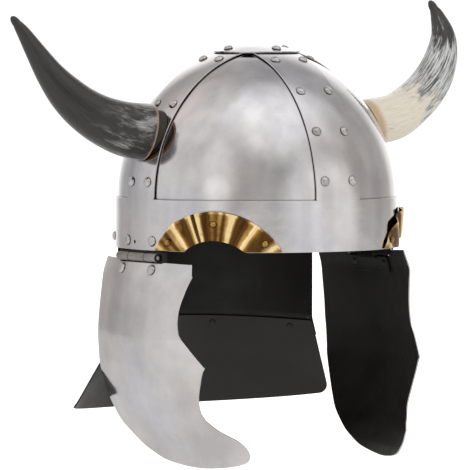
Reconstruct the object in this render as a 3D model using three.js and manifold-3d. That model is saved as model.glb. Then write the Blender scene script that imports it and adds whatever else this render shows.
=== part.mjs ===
// A horned spangenhelm: riveted steel skull, brow band, two horns, brass brow crescents,
// hinged cheek flaps and a flared neck guard. Millimetres, +Z up, the face looks along -Y,
// the wearer's left is +X. The origin is the centre of the head opening, in the plane of
// the brow band's lower rim.
import * as THREE from 'three';
import { mergeVertices } from 'three/addons/utils/BufferGeometryUtils.js';
import Module from 'manifold-3d';

const wasm = await Module();
wasm.setup();

// Sheet and seams
const sheet = 1.2;
const seam = 0.3;
// How far a cutter runs past what it cuts
const cutReach = 10;

// Brow band
const bandRadius = 107;
const bandHeight = 38;
const ringSides = 32;
const spareHoleRadius = 1.4;
const spareHole = { turn: 93, up: 6 };

// Skull: ribs over four panels
const domeRise = 113.2;
const domeRows = 6;
const ribHalfFront = 20;
const ribHalfSide = 18.2;
const panelEdgeGap = 2.4;
const panelSkirt = 9;
const skullTopHole = 9;

// Crown plate
const crownRadius = 33.3;
const crownDish = 5.4;
const crownSides = 20;
const crownRings = [0, 0.3, 0.65, 1];
const crownRivetRadius = 26;

// Rivets
const rivetHead = 3.65;
const rivetRise = 2.4;
const rivetShank = 1.5;
const rivetTail = 0.8;
const rivetShoulder = { out: 0.68, up: 0.72 };
const rivetSides = 6;
const holeSides = 4;
const holeMargin = 0.15;
const holeDepth = 5;
const crownHoleDepth = 7;

// Horns
const hornSides = 10;
const hornWall = 3.6;
const hornRoot = 16;
const hornTip = 1.1;
const hornRootThick = 1.01;
const hornSeat = 0.4;
// Row of the tables below in which a horn's hollow and its plug end
const plugRow = 2;
// turn and rise (a share of the skull's rise) place the rim's centre, standOff clear of the skull
const hornRight = {
  radius: 21.5, turn: -90.3, rise: 0.4346, standOff: 2.64,
  span: [-94.2, 38.5, 85.7], rimTilt: 12, rimYaw: -12,
};
const hornLeft = {
  radius: 18, turn: 83.56, rise: 0.4859, standOff: 4.6,
  span: [96.6, 50, 94.6], rimTilt: 25, rimYaw: 16,
};
// Each row: share of the span outwards, back and up, and share of the base radius
const hornRightRows = [
  { out: 0, back: 0, up: 0, thick: 1 },
  { out: 0.193, back: 0.04, up: 0.032, thick: 0.94 },
  { out: 0.38, back: 0.121, up: 0.104, thick: 0.847 },
  { out: 0.54, back: 0.227, up: 0.212, thick: 0.744 },
  { out: 0.67, back: 0.353, up: 0.349, thick: 0.633 },
  { out: 0.772, back: 0.496, up: 0.505, thick: 0.493 },
  { out: 0.851, back: 0.654, up: 0.675, thick: 0.367 },
  { out: 0.922, back: 0.827, up: 0.848, thick: 0.245 },
  { out: 0.967, back: 0.925, up: 0.94, thick: 0.15 },
  { out: 1, back: 1, up: 1, thick: 0 },
];
const hornLeftRows = [
  { out: 0, back: 0, up: 0, thick: 1 },
  { out: 0.277, back: 0.081, up: 0.042, thick: 0.975 },
  { out: 0.48, back: 0.177, up: 0.133, thick: 0.93 },
  { out: 0.668, back: 0.291, up: 0.249, thick: 0.88 },
  { out: 0.827, back: 0.417, up: 0.387, thick: 0.815 },
  { out: 0.947, back: 0.554, up: 0.543, thick: 0.7 },
  { out: 1.02, back: 0.698, up: 0.706, thick: 0.53 },
  { out: 1.026, back: 0.849, up: 0.861, thick: 0.32 },
  { out: 1.016, back: 0.93, up: 0.935, thick: 0.19 },
  { out: 1, back: 1, up: 1, thick: 0 },
];

// Brass crescents over the eye cut-outs
const crescentTurns = { left: 54, right: 52 };
const crescentDown = 28;
const crescentOuter = 58;
const crescentInner = 36.6;
const crescentEnd = 60.3;
const crescentFoot = 0.4;
const crescentSheet = 1;
const crescentLift = 0.5;
const flutePitch = 24;
const fluteSteps = 4;
const fluteFade = 12;
const fluteInner = 1.4;
const fluteOuter = 3.8;
const eyeMargin = 0.5;
const eyeSides = 22;
const crescentRivetSink = 0.1;
// Each row: angle in the crescent's fan, share of the way from its inner to its outer arc
const crescentRivets = [
  { fan: -47.5, share: 0.58 },
  { fan: 0, share: 0.56 },
  { fan: 47.5, share: 0.58 },
];

// Neck guard
const napeSpan = 59.5;
const napeSteps = 9;
const napeCornerSpan = 4.5;
// Columns at a rounded corner, in degrees from the end
const cornerTurns = [0, 0.55, 1.9];
const napeTop = 15;
const napeFoldDown = 55;
const napeFoldDrop = 5;
const napeFoldPower = 1.3;
const napeFlange = 16;
const napeFlareAngle = 29.5;
const flareStart = 2;
const flareDown = 129.5;
const flareEndRise = 9.3;
const flareEndPower = 2.4;
const flareCorner = 8.5;
const flareRows = 2;
const napeRivetUp = 7.8;
const napeRivetTurns = [0.3025, 0.9076].map((share) => share * napeSpan);
const flareRivetTurns = [0.2689, 0.8235].map((share) => share * napeSpan);
const flareRivetDown = 8.2;

// Cheek flaps
const flapGap = 8.8;
const flapDrop = 151;
const flapHalf = 57.3;
const flapBulge = 8.6;
const flapPlanRadius = 177;
// How much higher each flap's top edge ends in front and behind, as the two were cut by hand
const flapTopRise = { left: { front: 5.9, back: 0 }, right: { front: 0, back: 2.3 } };
const flapColumns = 4;
// Each row: share of the drop, front and back edge as shares of the half width, bulge share
const flapRows = [
  { drop: 0, front: -1.009, back: 0.981, out: 0.09 },
  { drop: 0.061, front: -1.059, back: 0.988, out: 0.44 },
  { drop: 0.14, front: -0.972, back: 0.993, out: 0.64 },
  { drop: 0.24, front: -0.901, back: 0.997, out: 0.85 },
  { drop: 0.339, front: -0.93, back: 1, out: 0.98 },
  { drop: 0.399, front: -1.065, back: 0.988, out: 1 },
  { drop: 0.498, front: -1.309, back: 0.963, out: 0.93 },
  { drop: 0.518, front: -1.274, back: 0.958, out: 0.89 },
  { drop: 0.564, front: -1.229, back: 0.925, out: 0.76 },
  { drop: 0.66, front: -1.152, back: 0.829, out: 0.4 },
  { drop: 0.736, front: -1.15, back: 0.724, out: -0.02 },
  { drop: 0.803, front: -1.302, back: 0.602, out: -0.49 },
  { drop: 0.862, front: -1.538, back: 0.41, out: -1.05 },
  { drop: 0.909, front: -1.599, back: 0.227, out: -1.43 },
  { drop: 0.948, front: -1.56, back: 0, out: -1.74 },
  { drop: 0.975, front: -1.424, back: -0.209, out: -1.88 },
  { drop: 1, front: -0.995, back: -0.698, out: -1.99 },
];

// Hinges: a leaf inside the band, a leaf inside the flap, and a pin through the knuckles
const hingeDrop = 5;
const barrelRadius = 3.25;
const pinRadius = 1.5;
const pinOverhang = 1.2;
const barrelSides = 8;
const leafHalf = 25;
const barrelHalf = 26;
const middleKnuckleHalf = 10.5;
const bandLeafTop = 14;
const flapLeafDown = 22;
const bandLeafRivet = { along: 16.2, up: 7 };
const flapLeafRivet = { along: 19.4, down: 14 };
const leafColumns = 4;
const flapLeafRows = 2;

// Materials
const steel = new THREE.MeshStandardMaterial({ color: 0xb9b4b0, roughness: 0.28, metalness: 1 });
const brass = new THREE.MeshStandardMaterial({ color: 0xc79a45, roughness: 0.3, metalness: 1 });
const darkHorn = new THREE.MeshStandardMaterial({ color: 0x3b3734, roughness: 0.3, metalness: 0 });
const paleHorn = new THREE.MeshStandardMaterial({ color: 0xd9ccb2, roughness: 0.35, metalness: 0 });
const blackWood = new THREE.MeshStandardMaterial({ color: 0x231d19, roughness: 0.7, metalness: 0 });

const helmet = new THREE.Group();
const yAxis = new THREE.Vector3(0, 1, 0);
const zAxis = new THREE.Vector3(0, 0, 1);
// What lies inside a flap keeps a seam to the flap's facets, which cut its curve short
const flapFacetDepth = (2 * flapHalf / flapColumns) ** 2 / (8 * flapPlanRadius);
// What lies inside the band keeps a seam to the flats of its faceted wall
const insideBand = (bandRadius - sheet) * Math.cos(Math.PI / ringSides) - seam;
const rad = THREE.MathUtils.degToRad;
const vec = (x, y, z) => new THREE.Vector3(x, y, z);

// Six times the signed volume of a triangle list, positive when its faces point out
function signedVolume(positions, triangles) {
  const corner = (i) => vec(positions[3 * i], positions[3 * i + 1], positions[3 * i + 2]);
  let total = 0;
  for (let i = 0; i < triangles.length; i += 3) {
    const a = corner(triangles[i]);
    total += a.dot(corner(triangles[i + 1]).cross(corner(triangles[i + 2])));
  }
  return total;
}

// A closed three.js geometry as a solid, its seams merged and its faces pointing out
function solidOf(geometry) {
  const bare = new THREE.BufferGeometry();
  bare.setAttribute('position', geometry.getAttribute('position').clone());
  if (geometry.index) bare.setIndex(geometry.index.clone());
  const merged = mergeVertices(bare, 1e-4);
  const index = merged.index.array;
  const positions = merged.getAttribute('position').array;
  const kept = [];
  for (let i = 0; i < index.length; i += 3) {
    const [a, b, c] = [index[i], index[i + 1], index[i + 2]];
    if (a !== b && b !== c && c !== a) kept.push(a, b, c);
  }
  if (signedVolume(positions, kept) < 0) {
    for (let i = 0; i < kept.length; i += 3) [kept[i], kept[i + 1]] = [kept[i + 1], kept[i]];
  }
  return new wasm.Manifold(new wasm.Mesh({
    numProp: 3,
    vertProperties: new Float32Array(positions),
    triVerts: new Uint32Array(kept),
  }));
}

function geometryOf(solid) {
  const mesh = solid.getMesh();
  const geometry = new THREE.BufferGeometry();
  geometry.setAttribute('position', new THREE.BufferAttribute(new Float32Array(mesh.vertProperties), 3));
  geometry.setIndex(new THREE.BufferAttribute(new Uint32Array(mesh.triVerts), 1));
  geometry.computeVertexNormals();
  return geometry;
}

function add(name, solid, material) {
  const mesh = new THREE.Mesh(geometryOf(solid), material);
  mesh.name = name;
  helmet.add(mesh);
  return mesh;
}

// The same solid on the other side of the plane x = 0
function mirrored(solid) {
  const geometry = geometryOf(solid);
  geometry.scale(-1, 1, 1);
  return solidOf(geometry);
}

// A profile of [radius, height] points turned round Z
function revolved(points, sides) {
  const profile = points.map(([r, z]) => new THREE.Vector2(r, z));
  const geometry = new THREE.LatheGeometry(profile, sides);
  geometry.rotateX(Math.PI / 2);
  return solidOf(geometry);
}

// A flat outline of [x, y] points raised along Z
function extruded(outline, low, high) {
  const shape = new THREE.Shape(outline.map(([x, y]) => new THREE.Vector2(x, y)));
  const geometry = new THREE.ExtrudeGeometry(shape, { depth: high - low, bevelEnabled: false });
  geometry.translate(0, 0, low);
  return solidOf(geometry);
}

function box(low, high) {
  const geometry = new THREE.BoxGeometry(high[0] - low[0], high[1] - low[1], high[2] - low[2]);
  geometry.translate((low[0] + high[0]) / 2, (low[1] + high[1]) / 2, (low[2] + high[2]) / 2);
  return solidOf(geometry);
}

// A round bar from one point along a direction
function bar(from, direction, length, radius, sides) {
  const geometry = new THREE.CylinderGeometry(radius, radius, length, sides);
  geometry.translate(0, length / 2, 0);
  geometry.applyQuaternion(new THREE.Quaternion().setFromUnitVectors(yAxis, direction));
  geometry.translate(from.x, from.y, from.z);
  return solidOf(geometry);
}

// A closed sheet: face(u, v) gives [outer, inner] points for u and v from 0 to 1
function sheetSolid(face, columns, rows) {
  const positions = [];
  const index = [];
  for (let layer = 0; layer < 2; layer += 1) {
    for (let j = 0; j <= rows; j += 1) {
      for (let i = 0; i <= columns; i += 1) {
        const point = face(i / columns, j / rows, i, j)[layer];
        positions.push(point.x, point.y, point.z);
      }
    }
  }
  const wide = columns + 1;
  const back = wide * (rows + 1);
  const quad = (a, b, c, d) => index.push(a, b, c, a, c, d);
  for (let j = 0; j < rows; j += 1) {
    for (let i = 0; i < columns; i += 1) {
      const a = j * wide + i;
      quad(a, a + 1, a + wide + 1, a + wide);
      quad(back + a, back + a + wide, back + a + wide + 1, back + a + 1);
    }
  }
  for (let i = 0; i < columns; i += 1) {
    const top = i;
    const low = rows * wide + i;
    quad(top, back + top, back + top + 1, top + 1);
    quad(low, low + 1, back + low + 1, back + low);
  }
  for (let j = 0; j < rows; j += 1) {
    const near = j * wide;
    const far = j * wide + columns;
    quad(near, near + wide, back + near + wide, back + near);
    quad(far, back + far, back + far + wide, far + wide);
  }
  const geometry = new THREE.BufferGeometry();
  geometry.setAttribute('position', new THREE.Float32BufferAttribute(positions, 3));
  geometry.setIndex(index);
  return solidOf(geometry);
}

// A round tube of changing radius through a row of centres, closed at both ends
function loft(centres, radii, sides) {
  const positions = [];
  const index = [];
  const last = centres.length - 1;
  let side = vec(0, 0, 1);
  centres.forEach((centre, k) => {
    const before = centres[Math.max(k - 1, 0)];
    const after = centres[Math.min(k + 1, last)];
    const along = after.clone().sub(before).normalize();
    side = side.clone().sub(along.clone().multiplyScalar(side.dot(along))).normalize();
    const other = along.clone().cross(side);
    for (let i = 0; i < sides; i += 1) {
      const turn = (2 * Math.PI * i) / sides;
      const point = centre.clone();
      point.addScaledVector(side, radii[k] * Math.cos(turn));
      point.addScaledVector(other, radii[k] * Math.sin(turn));
      positions.push(point.x, point.y, point.z);
    }
  });
  for (let k = 0; k < last; k += 1) {
    for (let i = 0; i < sides; i += 1) {
      const a = k * sides + i;
      const b = k * sides + ((i + 1) % sides);
      index.push(a, b, b + sides, a, b + sides, a + sides);
    }
  }
  for (let i = 1; i < sides - 1; i += 1) {
    index.push(0, i + 1, i);
    index.push(last * sides, last * sides + i, last * sides + i + 1);
  }
  const geometry = new THREE.BufferGeometry();
  geometry.setAttribute('position', new THREE.Float32BufferAttribute(positions, 3));
  geometry.setIndex(index);
  return solidOf(geometry);
}

// Skull surface: an ellipsoid that stands on the band, moved inwards by inset
function domeRadiusAt(height, inset = 0) {
  const share = height / (domeRise - inset);
  return (bandRadius - inset) * Math.sqrt(Math.max(0, 1 - share * share));
}

// Point and outward normal on the ribs' outer surface: turn is from the front to the
// wearer's left, aside is measured square to the rib's middle line
function onRib(turn, aside, height) {
  const radius = domeRadiusAt(height);
  const out = Math.sqrt(radius * radius - aside * aside);
  const point = vec(aside, -out, bandHeight + height).applyAxisAngle(zAxis, rad(turn));
  const normal = vec(
    point.x / bandRadius ** 2,
    point.y / bandRadius ** 2,
    (point.z - bandHeight) / domeRise ** 2,
  ).normalize();
  return { point, normal };
}

// Point and outward direction on a cylinder round Z
function onBand(turn, up, radius) {
  const normal = vec(Math.sin(rad(turn)), -Math.cos(rad(turn)), 0);
  return { point: vec(normal.x * radius, normal.y * radius, up), normal };
}

function domeArc(inset) {
  const points = [];
  const topAngle = Math.acos(skullTopHole / (bandRadius - inset));
  for (let k = 0; k <= domeRows; k += 1) {
    const angle = (topAngle * k) / domeRows;
    const rise = (domeRise - inset) * Math.sin(angle);
    points.push([(bandRadius - inset) * Math.cos(angle), bandHeight + rise]);
  }
  return points;
}

// A dome shell between two insets, with a skirt that hangs inside the band
function domeShell(inset, skirt) {
  const outer = domeArc(inset);
  const inner = domeArc(inset + sheet).reverse();
  if (skirt > 0) {
    outer.unshift([bandRadius - inset, bandHeight - skirt]);
    inner.push([bandRadius - inset - sheet, bandHeight - skirt]);
  }
  return revolved([...outer, ...inner, outer[0]], ringSides);
}

// The full skull as a solid, to fit the horns and their plugs against
function domeBlock(clearance) {
  const points = [[0, 0], [bandRadius + clearance, 0]];
  points.push(...domeArc(-clearance));
  points.push([0, bandHeight + domeRise + clearance]);
  return revolved(points, ringSides);
}

// Rivet with its head's underside at the origin and its shank down -Z
function rivet(grip) {
  return revolved([
    [0, rivetRise],
    [rivetHead * rivetShoulder.out, rivetRise * rivetShoulder.up],
    [rivetHead, 0],
    [rivetShank, 0],
    [rivetShank, -grip],
    [0, -grip],
  ], rivetSides);
}

function seat(solid, point, normal) {
  const geometry = geometryOf(solid);
  geometry.applyQuaternion(new THREE.Quaternion().setFromUnitVectors(zAxis, normal));
  geometry.translate(point.x, point.y, point.z);
  return solidOf(geometry);
}

// A clearance hole for a rivet, square to the surface
function rivetHole({ point, normal }, depth) {
  const start = point.clone().addScaledVector(normal, -depth);
  const radius = (rivetShank + holeMargin) / Math.cos(Math.PI / holeSides);
  return bar(start, normal, 2 * depth, radius, holeSides);
}

function addRivet(name, spot, grip) {
  const mesh = add(name, rivet(grip), steel);
  mesh.position.copy(spot.point.clone().addScaledVector(spot.normal, seam));
  mesh.quaternion.setFromUnitVectors(zAxis, spot.normal);
}

const ribs = [
  { name: 'front', turn: 0, half: ribHalfFront, other: ribHalfSide, aside: 12.5 },
  { name: 'left', turn: 90, half: ribHalfSide, other: ribHalfFront, aside: 10.5 },
  { name: 'rear', turn: 180, half: ribHalfFront, other: ribHalfSide, aside: 12.5 },
  { name: 'right', turn: 270, half: ribHalfSide, other: ribHalfFront, aside: 10.5 },
];
// Rivet rows up each rib as shares of the dome's rise; the horn takes one row at the sides
const endRibRows = [0.124, 0.446, 0.707, 0.91];
const sideRibRows = [0.111, 0.621, 0.915];

function ribRivets() {
  const spots = [];
  for (const rib of ribs) {
    const rows = rib.half === ribHalfFront ? endRibRows : sideRibRows;
    let count = 0;
    for (const row of rows) {
      for (const hand of [-1, 1]) {
        count += 1;
        const spot = onRib(rib.turn, hand * rib.aside, row * domeRise);
        spots.push({ name: `rib_rivet_${rib.name}_${count}`, rib, ...spot });
      }
    }
  }
  return spots;
}

// Crown plate: a shallow dish a little flatter than the skull
function crownHeight(radius) {
  return bandHeight + domeRise + seam - crownDish * (radius / crownRadius) ** 2;
}

function onCrown(turn) {
  const slope = (2 * crownDish * crownRivetRadius) / crownRadius ** 2;
  const normal = vec(0, -slope, 1).normalize().applyAxisAngle(zAxis, rad(turn));
  const height = crownHeight(crownRivetRadius) + sheet;
  const point = vec(0, -crownRivetRadius, height).applyAxisAngle(zAxis, rad(turn));
  return { point, normal };
}

function addSkull() {
  const spots = ribRivets();
  const crownSpots = ribs.map((rib) => ({ name: `crown_rivet_${rib.name}`, ...onCrown(rib.turn) }));
  const holes = spots.map((spot) => rivetHole(spot, holeDepth));
  const crownHoles = crownSpots.map((spot) => rivetHole(spot, crownHoleDepth));
  const far = 2 * bandRadius;
  const top = bandHeight + domeRise + cutReach;

  const ribShell = domeShell(0, 0);
  for (const rib of ribs) {
    const w = rib.half;
    const mitre = seam / Math.SQRT2;
    const outline = [[-w, -far], [w, -far], [w, -w - mitre], [0, -mitre], [-w, -w - mitre]];
    const cutter = extruded(outline, bandHeight - cutReach, top).rotate([0, 0, rib.turn]);
    let solid = ribShell.intersect(cutter);
    for (const hole of [...holes, ...crownHoles]) solid = solid.subtract(hole);
    add(`rib_${rib.name}`, solid, steel);
  }

  const panelShell = domeShell(sheet + seam, panelSkirt);
  const panelNames = ['front_left', 'rear_left', 'rear_right', 'front_right'];
  panelNames.forEach((name, k) => {
    const e = panelEdgeGap;
    const outline = [[e, -far], [far, -far], [far, -e], [e, -e]];
    const cutter = extruded(outline, 0, top).rotate([0, 0, 90 * k]);
    let solid = panelShell.intersect(cutter);
    for (const hole of holes) solid = solid.subtract(hole);
    add(`panel_${name}`, solid, steel);
  });

  const under = crownRings.map((s) => [s * crownRadius, crownHeight(s * crownRadius)]);
  const over = crownRings.map((s) => [s * crownRadius, crownHeight(s * crownRadius) + sheet]);
  let crown = revolved([...over, ...under.reverse()], crownSides);
  for (const hole of crownHoles) crown = crown.subtract(hole);
  add('crown_plate', crown, steel);

  const ribGrip = 2 * sheet + 2 * seam + rivetTail;
  for (const spot of spots) addRivet(spot.name, spot, ribGrip);
  const ribBelow = crownHeight(crownRivetRadius) - bandHeight - Math.sqrt(
    1 - (crownRivetRadius / bandRadius) ** 2,
  ) * domeRise;
  const crownGrip = 2 * sheet + seam + ribBelow + rivetTail;
  for (const spot of crownSpots) addRivet(spot.name, spot, crownGrip);
}

// Crescents lie on the band: fan is the angle in their own fan, radius from its centre
function crescentSpot(fan, radius, height, centreTurn) {
  const along = radius * Math.sin(rad(fan));
  const up = radius * Math.cos(rad(fan)) - crescentDown;
  const turn = centreTurn + THREE.MathUtils.radToDeg(along / bandRadius);
  return onBand(turn, up, bandRadius + height);
}

function crescentInnerAt(fan) {
  const footRadius = (crescentFoot + crescentDown) / Math.cos(rad(fan));
  return Math.max(crescentInner, footRadius);
}

function fluteHeight(fan, share) {
  const fade = Math.min(1, (crescentEnd - Math.abs(fan)) / fluteFade);
  const swing = fade * (0.5 - 0.5 * Math.cos((2 * Math.PI * fan) / flutePitch));
  return crescentLift + swing * (fluteInner + share * (fluteOuter - fluteInner));
}

function crescentRivetSpot(row) {
  const inner = crescentInnerAt(row.fan);
  const radius = inner + row.share * (crescentOuter - inner);
  return { radius, height: fluteHeight(row.fan, row.share) };
}

function crescentSolid(centreTurn) {
  const columns = Math.round((2 * crescentEnd * fluteSteps) / flutePitch);
  let solid = sheetSolid((u, v) => {
    const fan = crescentEnd * (2 * u - 1);
    const inner = crescentInnerAt(fan);
    const radius = inner + v * (crescentOuter - inner);
    const height = fluteHeight(fan, v);
    return [
      crescentSpot(fan, radius, height + crescentSheet, centreTurn).point,
      crescentSpot(fan, radius, height, centreTurn).point,
    ];
  }, columns, 1);
  for (const row of crescentRivets) {
    const { radius, height } = crescentRivetSpot(row);
    const rise = height + crescentSheet - crescentRivetSink;
    const spot = crescentSpot(row.fan, radius, rise, centreTurn);
    const grip = height + crescentSheet + sheet + rivetTail;
    solid = solid.add(seat(rivet(grip), spot.point, spot.normal));
  }
  return solid;
}

function bandHoleSpots(centreTurn) {
  const spots = [];
  for (const row of crescentRivets) {
    spots.push(crescentSpot(row.fan, crescentRivetSpot(row).radius, 0, centreTurn));
  }
  for (const hand of [-1, 1]) {
    const turn = 90 + hand * THREE.MathUtils.radToDeg(Math.asin(bandLeafRivet.along / bandRadius));
    spots.push(onBand(turn, bandLeafRivet.up, bandRadius));
  }
  for (const turn of napeRivetTurns) spots.push(onBand(180 - turn, napeRivetUp, bandRadius));
  return spots;
}

// The eye cut-out as an outline in the band's own flat pattern, raised through the wall
function eyeCutter(centreTurn) {
  const centre = onBand(centreTurn, -crescentDown, bandRadius / 2);
  const radius = crescentInner - eyeMargin;
  return bar(centre.point, centre.normal, bandRadius, radius, eyeSides);
}

function addBand() {
  const inner = bandRadius - sheet;
  let solid = revolved([
    [bandRadius, 0], [bandRadius, bandHeight], [inner, bandHeight], [inner, 0], [bandRadius, 0],
  ], ringSides);
  for (const side of ['left', 'right']) {
    const place = side === 'left' ? (cutter) => cutter : mirrored;
    const turn = crescentTurns[side];
    for (const spot of bandHoleSpots(turn)) solid = solid.subtract(place(rivetHole(spot, holeDepth)));
    solid = solid.subtract(place(eyeCutter(turn)));
    add(`brow_crescent_${side}`, place(crescentSolid(turn)), brass);
  }
  const spare = onBand(-spareHole.turn, spareHole.up, bandRadius - holeDepth);
  solid = solid.subtract(bar(spare.point, spare.normal, 2 * holeDepth, spareHoleRadius, rivetSides));
  add('brow_band', solid, steel);
}

// Neck guard: an upright wall inside the band, folded out into a short flange, and a
// flared plate riveted under that flange. turn is from the back's middle.
function foldHeight(turn) {
  return -napeFoldDown - napeFoldDrop * Math.abs(turn / napeSpan) ** napeFoldPower;
}

function napePoint(turn, radius, up) {
  return onBand(180 - turn, up, radius).point;
}

function flarePoint(turn, down, inset) {
  const sine = Math.sin(rad(napeFlareAngle));
  const cosine = Math.cos(rad(napeFlareAngle));
  const radius = insideBand + down * sine - inset * cosine;
  return napePoint(turn, radius, foldHeight(turn) - down * cosine - inset * sine);
}

// Columns of the neck guard, closer together at its rounded lower corners
function napeTurns() {
  const left = cornerTurns.map((step) => step - napeSpan);
  const right = cornerTurns.map((step) => napeSpan - step).reverse();
  const inner = napeSpan - napeCornerSpan;
  const middle = [];
  for (let k = 0; k <= napeSteps; k += 1) middle.push(inner * ((2 * k) / napeSteps - 1));
  return [...left, ...middle, ...right];
}

function napeWall() {
  const radius = insideBand;
  const turns = napeTurns();
  const mitre = sheet * Math.tan(rad(napeFlareAngle) / 2);
  return sheetSolid((u, v, i, j) => {
    const turn = turns[i];
    const fold = foldHeight(turn);
    if (j === 0) return [napePoint(turn, radius, napeTop), napePoint(turn, radius - sheet, napeTop)];
    if (j === 1) {
      return [napePoint(turn, radius, fold), napePoint(turn, radius - sheet, fold - mitre)];
    }
    return [flarePoint(turn, napeFlange, 0), flarePoint(turn, napeFlange, sheet)];
  }, turns.length - 1, 2);
}

// Length of the flared plate along its slope, with rounded lower corners
function flareLength(turn) {
  const share = Math.abs(turn) / napeSpan;
  const bottom = flareEndRise * share ** flareEndPower - flareDown;
  const length = (foldHeight(turn) - bottom) / Math.cos(rad(napeFlareAngle));
  const edgeRadius = bandRadius + length * Math.sin(rad(napeFlareAngle));
  const fromEnd = rad(napeSpan - Math.abs(turn)) * edgeRadius;
  if (fromEnd >= flareCorner) return length;
  const lift = flareCorner - Math.sqrt(flareCorner ** 2 - (flareCorner - fromEnd) ** 2);
  return length - lift;
}

function flareSolid() {
  const turns = napeTurns();
  const inset = sheet + seam;
  return sheetSolid((u, v, i) => {
    const down = flareStart + v * (flareLength(turns[i]) - flareStart);
    return [flarePoint(turns[i], down, inset), flarePoint(turns[i], down, inset + sheet)];
  }, turns.length - 1, flareRows);
}

// A rivet spot on the flange's outer face
function flareRivetSpot(turn) {
  const angle = rad(napeFlareAngle);
  const outward = onBand(180 - turn, 0, 1).normal;
  const normal = outward.multiplyScalar(Math.cos(angle)).add(vec(0, 0, Math.sin(angle)));
  return { point: flarePoint(turn, flareRivetDown, 0), normal };
}

function addNape() {
  let wall = napeWall();
  let flare = flareSolid();
  const grip = 3 * sheet + 3 * seam;
  for (const hand of [-1, 1]) {
    for (const turn of napeRivetTurns) {
      const spot = onBand(180 - hand * turn, napeRivetUp, bandRadius + seam);
      wall = wall.add(seat(rivet(2 * sheet + 2 * seam), spot.point, spot.normal));
    }
    for (const turn of flareRivetTurns) {
      const spot = flareRivetSpot(hand * turn);
      wall = wall.subtract(rivetHole(spot, holeDepth));
      const head = spot.point.clone().addScaledVector(spot.normal, seam);
      flare = flare.add(seat(rivet(grip), head, spot.normal));
    }
  }
  add('nape_plate', wall, steel);
  add('nape_flare', flare, steel);
}

// Cheek flaps, worked out for the wearer's left side
function flapRowAt(up) {
  const drop = (-flapGap - up) / flapDrop;
  let k = 0;
  while (k < flapRows.length - 2 && flapRows[k + 1].drop < drop) k += 1;
  const [a, b] = [flapRows[k], flapRows[k + 1]];
  const mix = (drop - a.drop) / (b.drop - a.drop);
  const blend = (key) => a[key] + mix * (b[key] - a[key]);
  return { front: blend('front'), back: blend('back'), out: blend('out') };
}

function flapPoint(along, up) {
  const out = bandRadius + flapBulge * flapRowAt(up).out - along ** 2 / (2 * flapPlanRadius);
  return vec(out, along, up);
}

function flapNormal(along, up) {
  const step = 1.5;
  const low = flapPoint(along, up - step);
  const high = flapPoint(along, up + step);
  const front = flapPoint(along - step, up);
  const back = flapPoint(along + step, up);
  return back.sub(front).cross(high.sub(low)).normalize();
}

// A sheet that follows the flap, its outer face moved inwards by inset
function flapSheet(alongAt, upAt, inset, columns, rows, topRise = { front: 0, back: 0 }) {
  return sheetSolid((u, v, i, j) => {
    const along = alongAt(u, upAt(j));
    const rise = topRise.front + u * (topRise.back - topRise.front);
    const up = upAt(j) + (j === 0 ? rise : 0);
    const point = flapPoint(along, up);
    const normal = flapNormal(along, up);
    return [
      point.clone().addScaledVector(normal, -inset),
      point.clone().addScaledVector(normal, -inset - sheet),
    ];
  }, columns, rows);
}

function flapSolid(topRise) {
  const upAt = (j) => -flapGap - flapDrop * flapRows[j].drop;
  const alongAt = (u, up) => {
    const row = flapRowAt(up);
    return flapHalf * (row.front + u * (row.back - row.front));
  };
  const sheetBody = flapSheet(alongAt, upAt, 0, flapColumns, flapRows.length - 1, topRise);
  // Clear of the hinge's barrel and pin
  const reach = barrelHalf + pinOverhang + 2 * seam;
  const aside = 2 * flapBulge;
  return sheetBody.subtract(box(
    [bandRadius - aside, -reach, -flapGap],
    [bandRadius + aside, reach, cutReach],
  ));
}

function flapRivetSpots() {
  return [-1, 1].map((hand) => {
    const along = hand * flapLeafRivet.along;
    return {
      point: flapPoint(along, -flapLeafRivet.down),
      normal: flapNormal(along, -flapLeafRivet.down),
    };
  });
}

function barrel(from, to) {
  return bar(vec(bandRadius, from, -hingeDrop), yAxis, to - from, barrelRadius, barrelSides);
}

function pinBore() {
  const start = vec(bandRadius, -2 * barrelHalf, -hingeDrop);
  return bar(start, yAxis, 4 * barrelHalf, pinRadius + seam, barrelSides);
}

// Leaf inside the band with the two outer knuckles
function bandLeaf() {
  const radius = insideBand;
  const low = -hingeDrop + barrelRadius - seam;
  const span = THREE.MathUtils.radToDeg(Math.asin(leafHalf / radius));
  let solid = sheetSolid((u, v) => {
    const turn = 90 + span * (2 * u - 1);
    const up = bandLeafTop + v * (low - bandLeafTop);
    return [onBand(turn, up, radius).point, onBand(turn, up, radius - sheet).point];
  }, leafColumns, 1);
  const webIn = Math.sqrt((radius - sheet) ** 2 - barrelHalf ** 2);
  const webTop = low + sheet;
  for (const hand of [-1, 1]) {
    const from = hand < 0 ? -barrelHalf : middleKnuckleHalf + seam;
    const to = hand < 0 ? -middleKnuckleHalf - seam : barrelHalf;
    solid = solid.add(barrel(from, to));
    solid = solid.add(box([webIn, from, -hingeDrop - sheet], [bandRadius - sheet, to, webTop]));
    const turn = 90 + hand * THREE.MathUtils.radToDeg(Math.asin(bandLeafRivet.along / bandRadius));
    const spot = onBand(turn, bandLeafRivet.up, bandRadius + seam);
    solid = solid.add(seat(rivet(2 * sheet + 2 * seam), spot.point, spot.normal));
  }
  return solid.subtract(pinBore());
}

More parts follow.
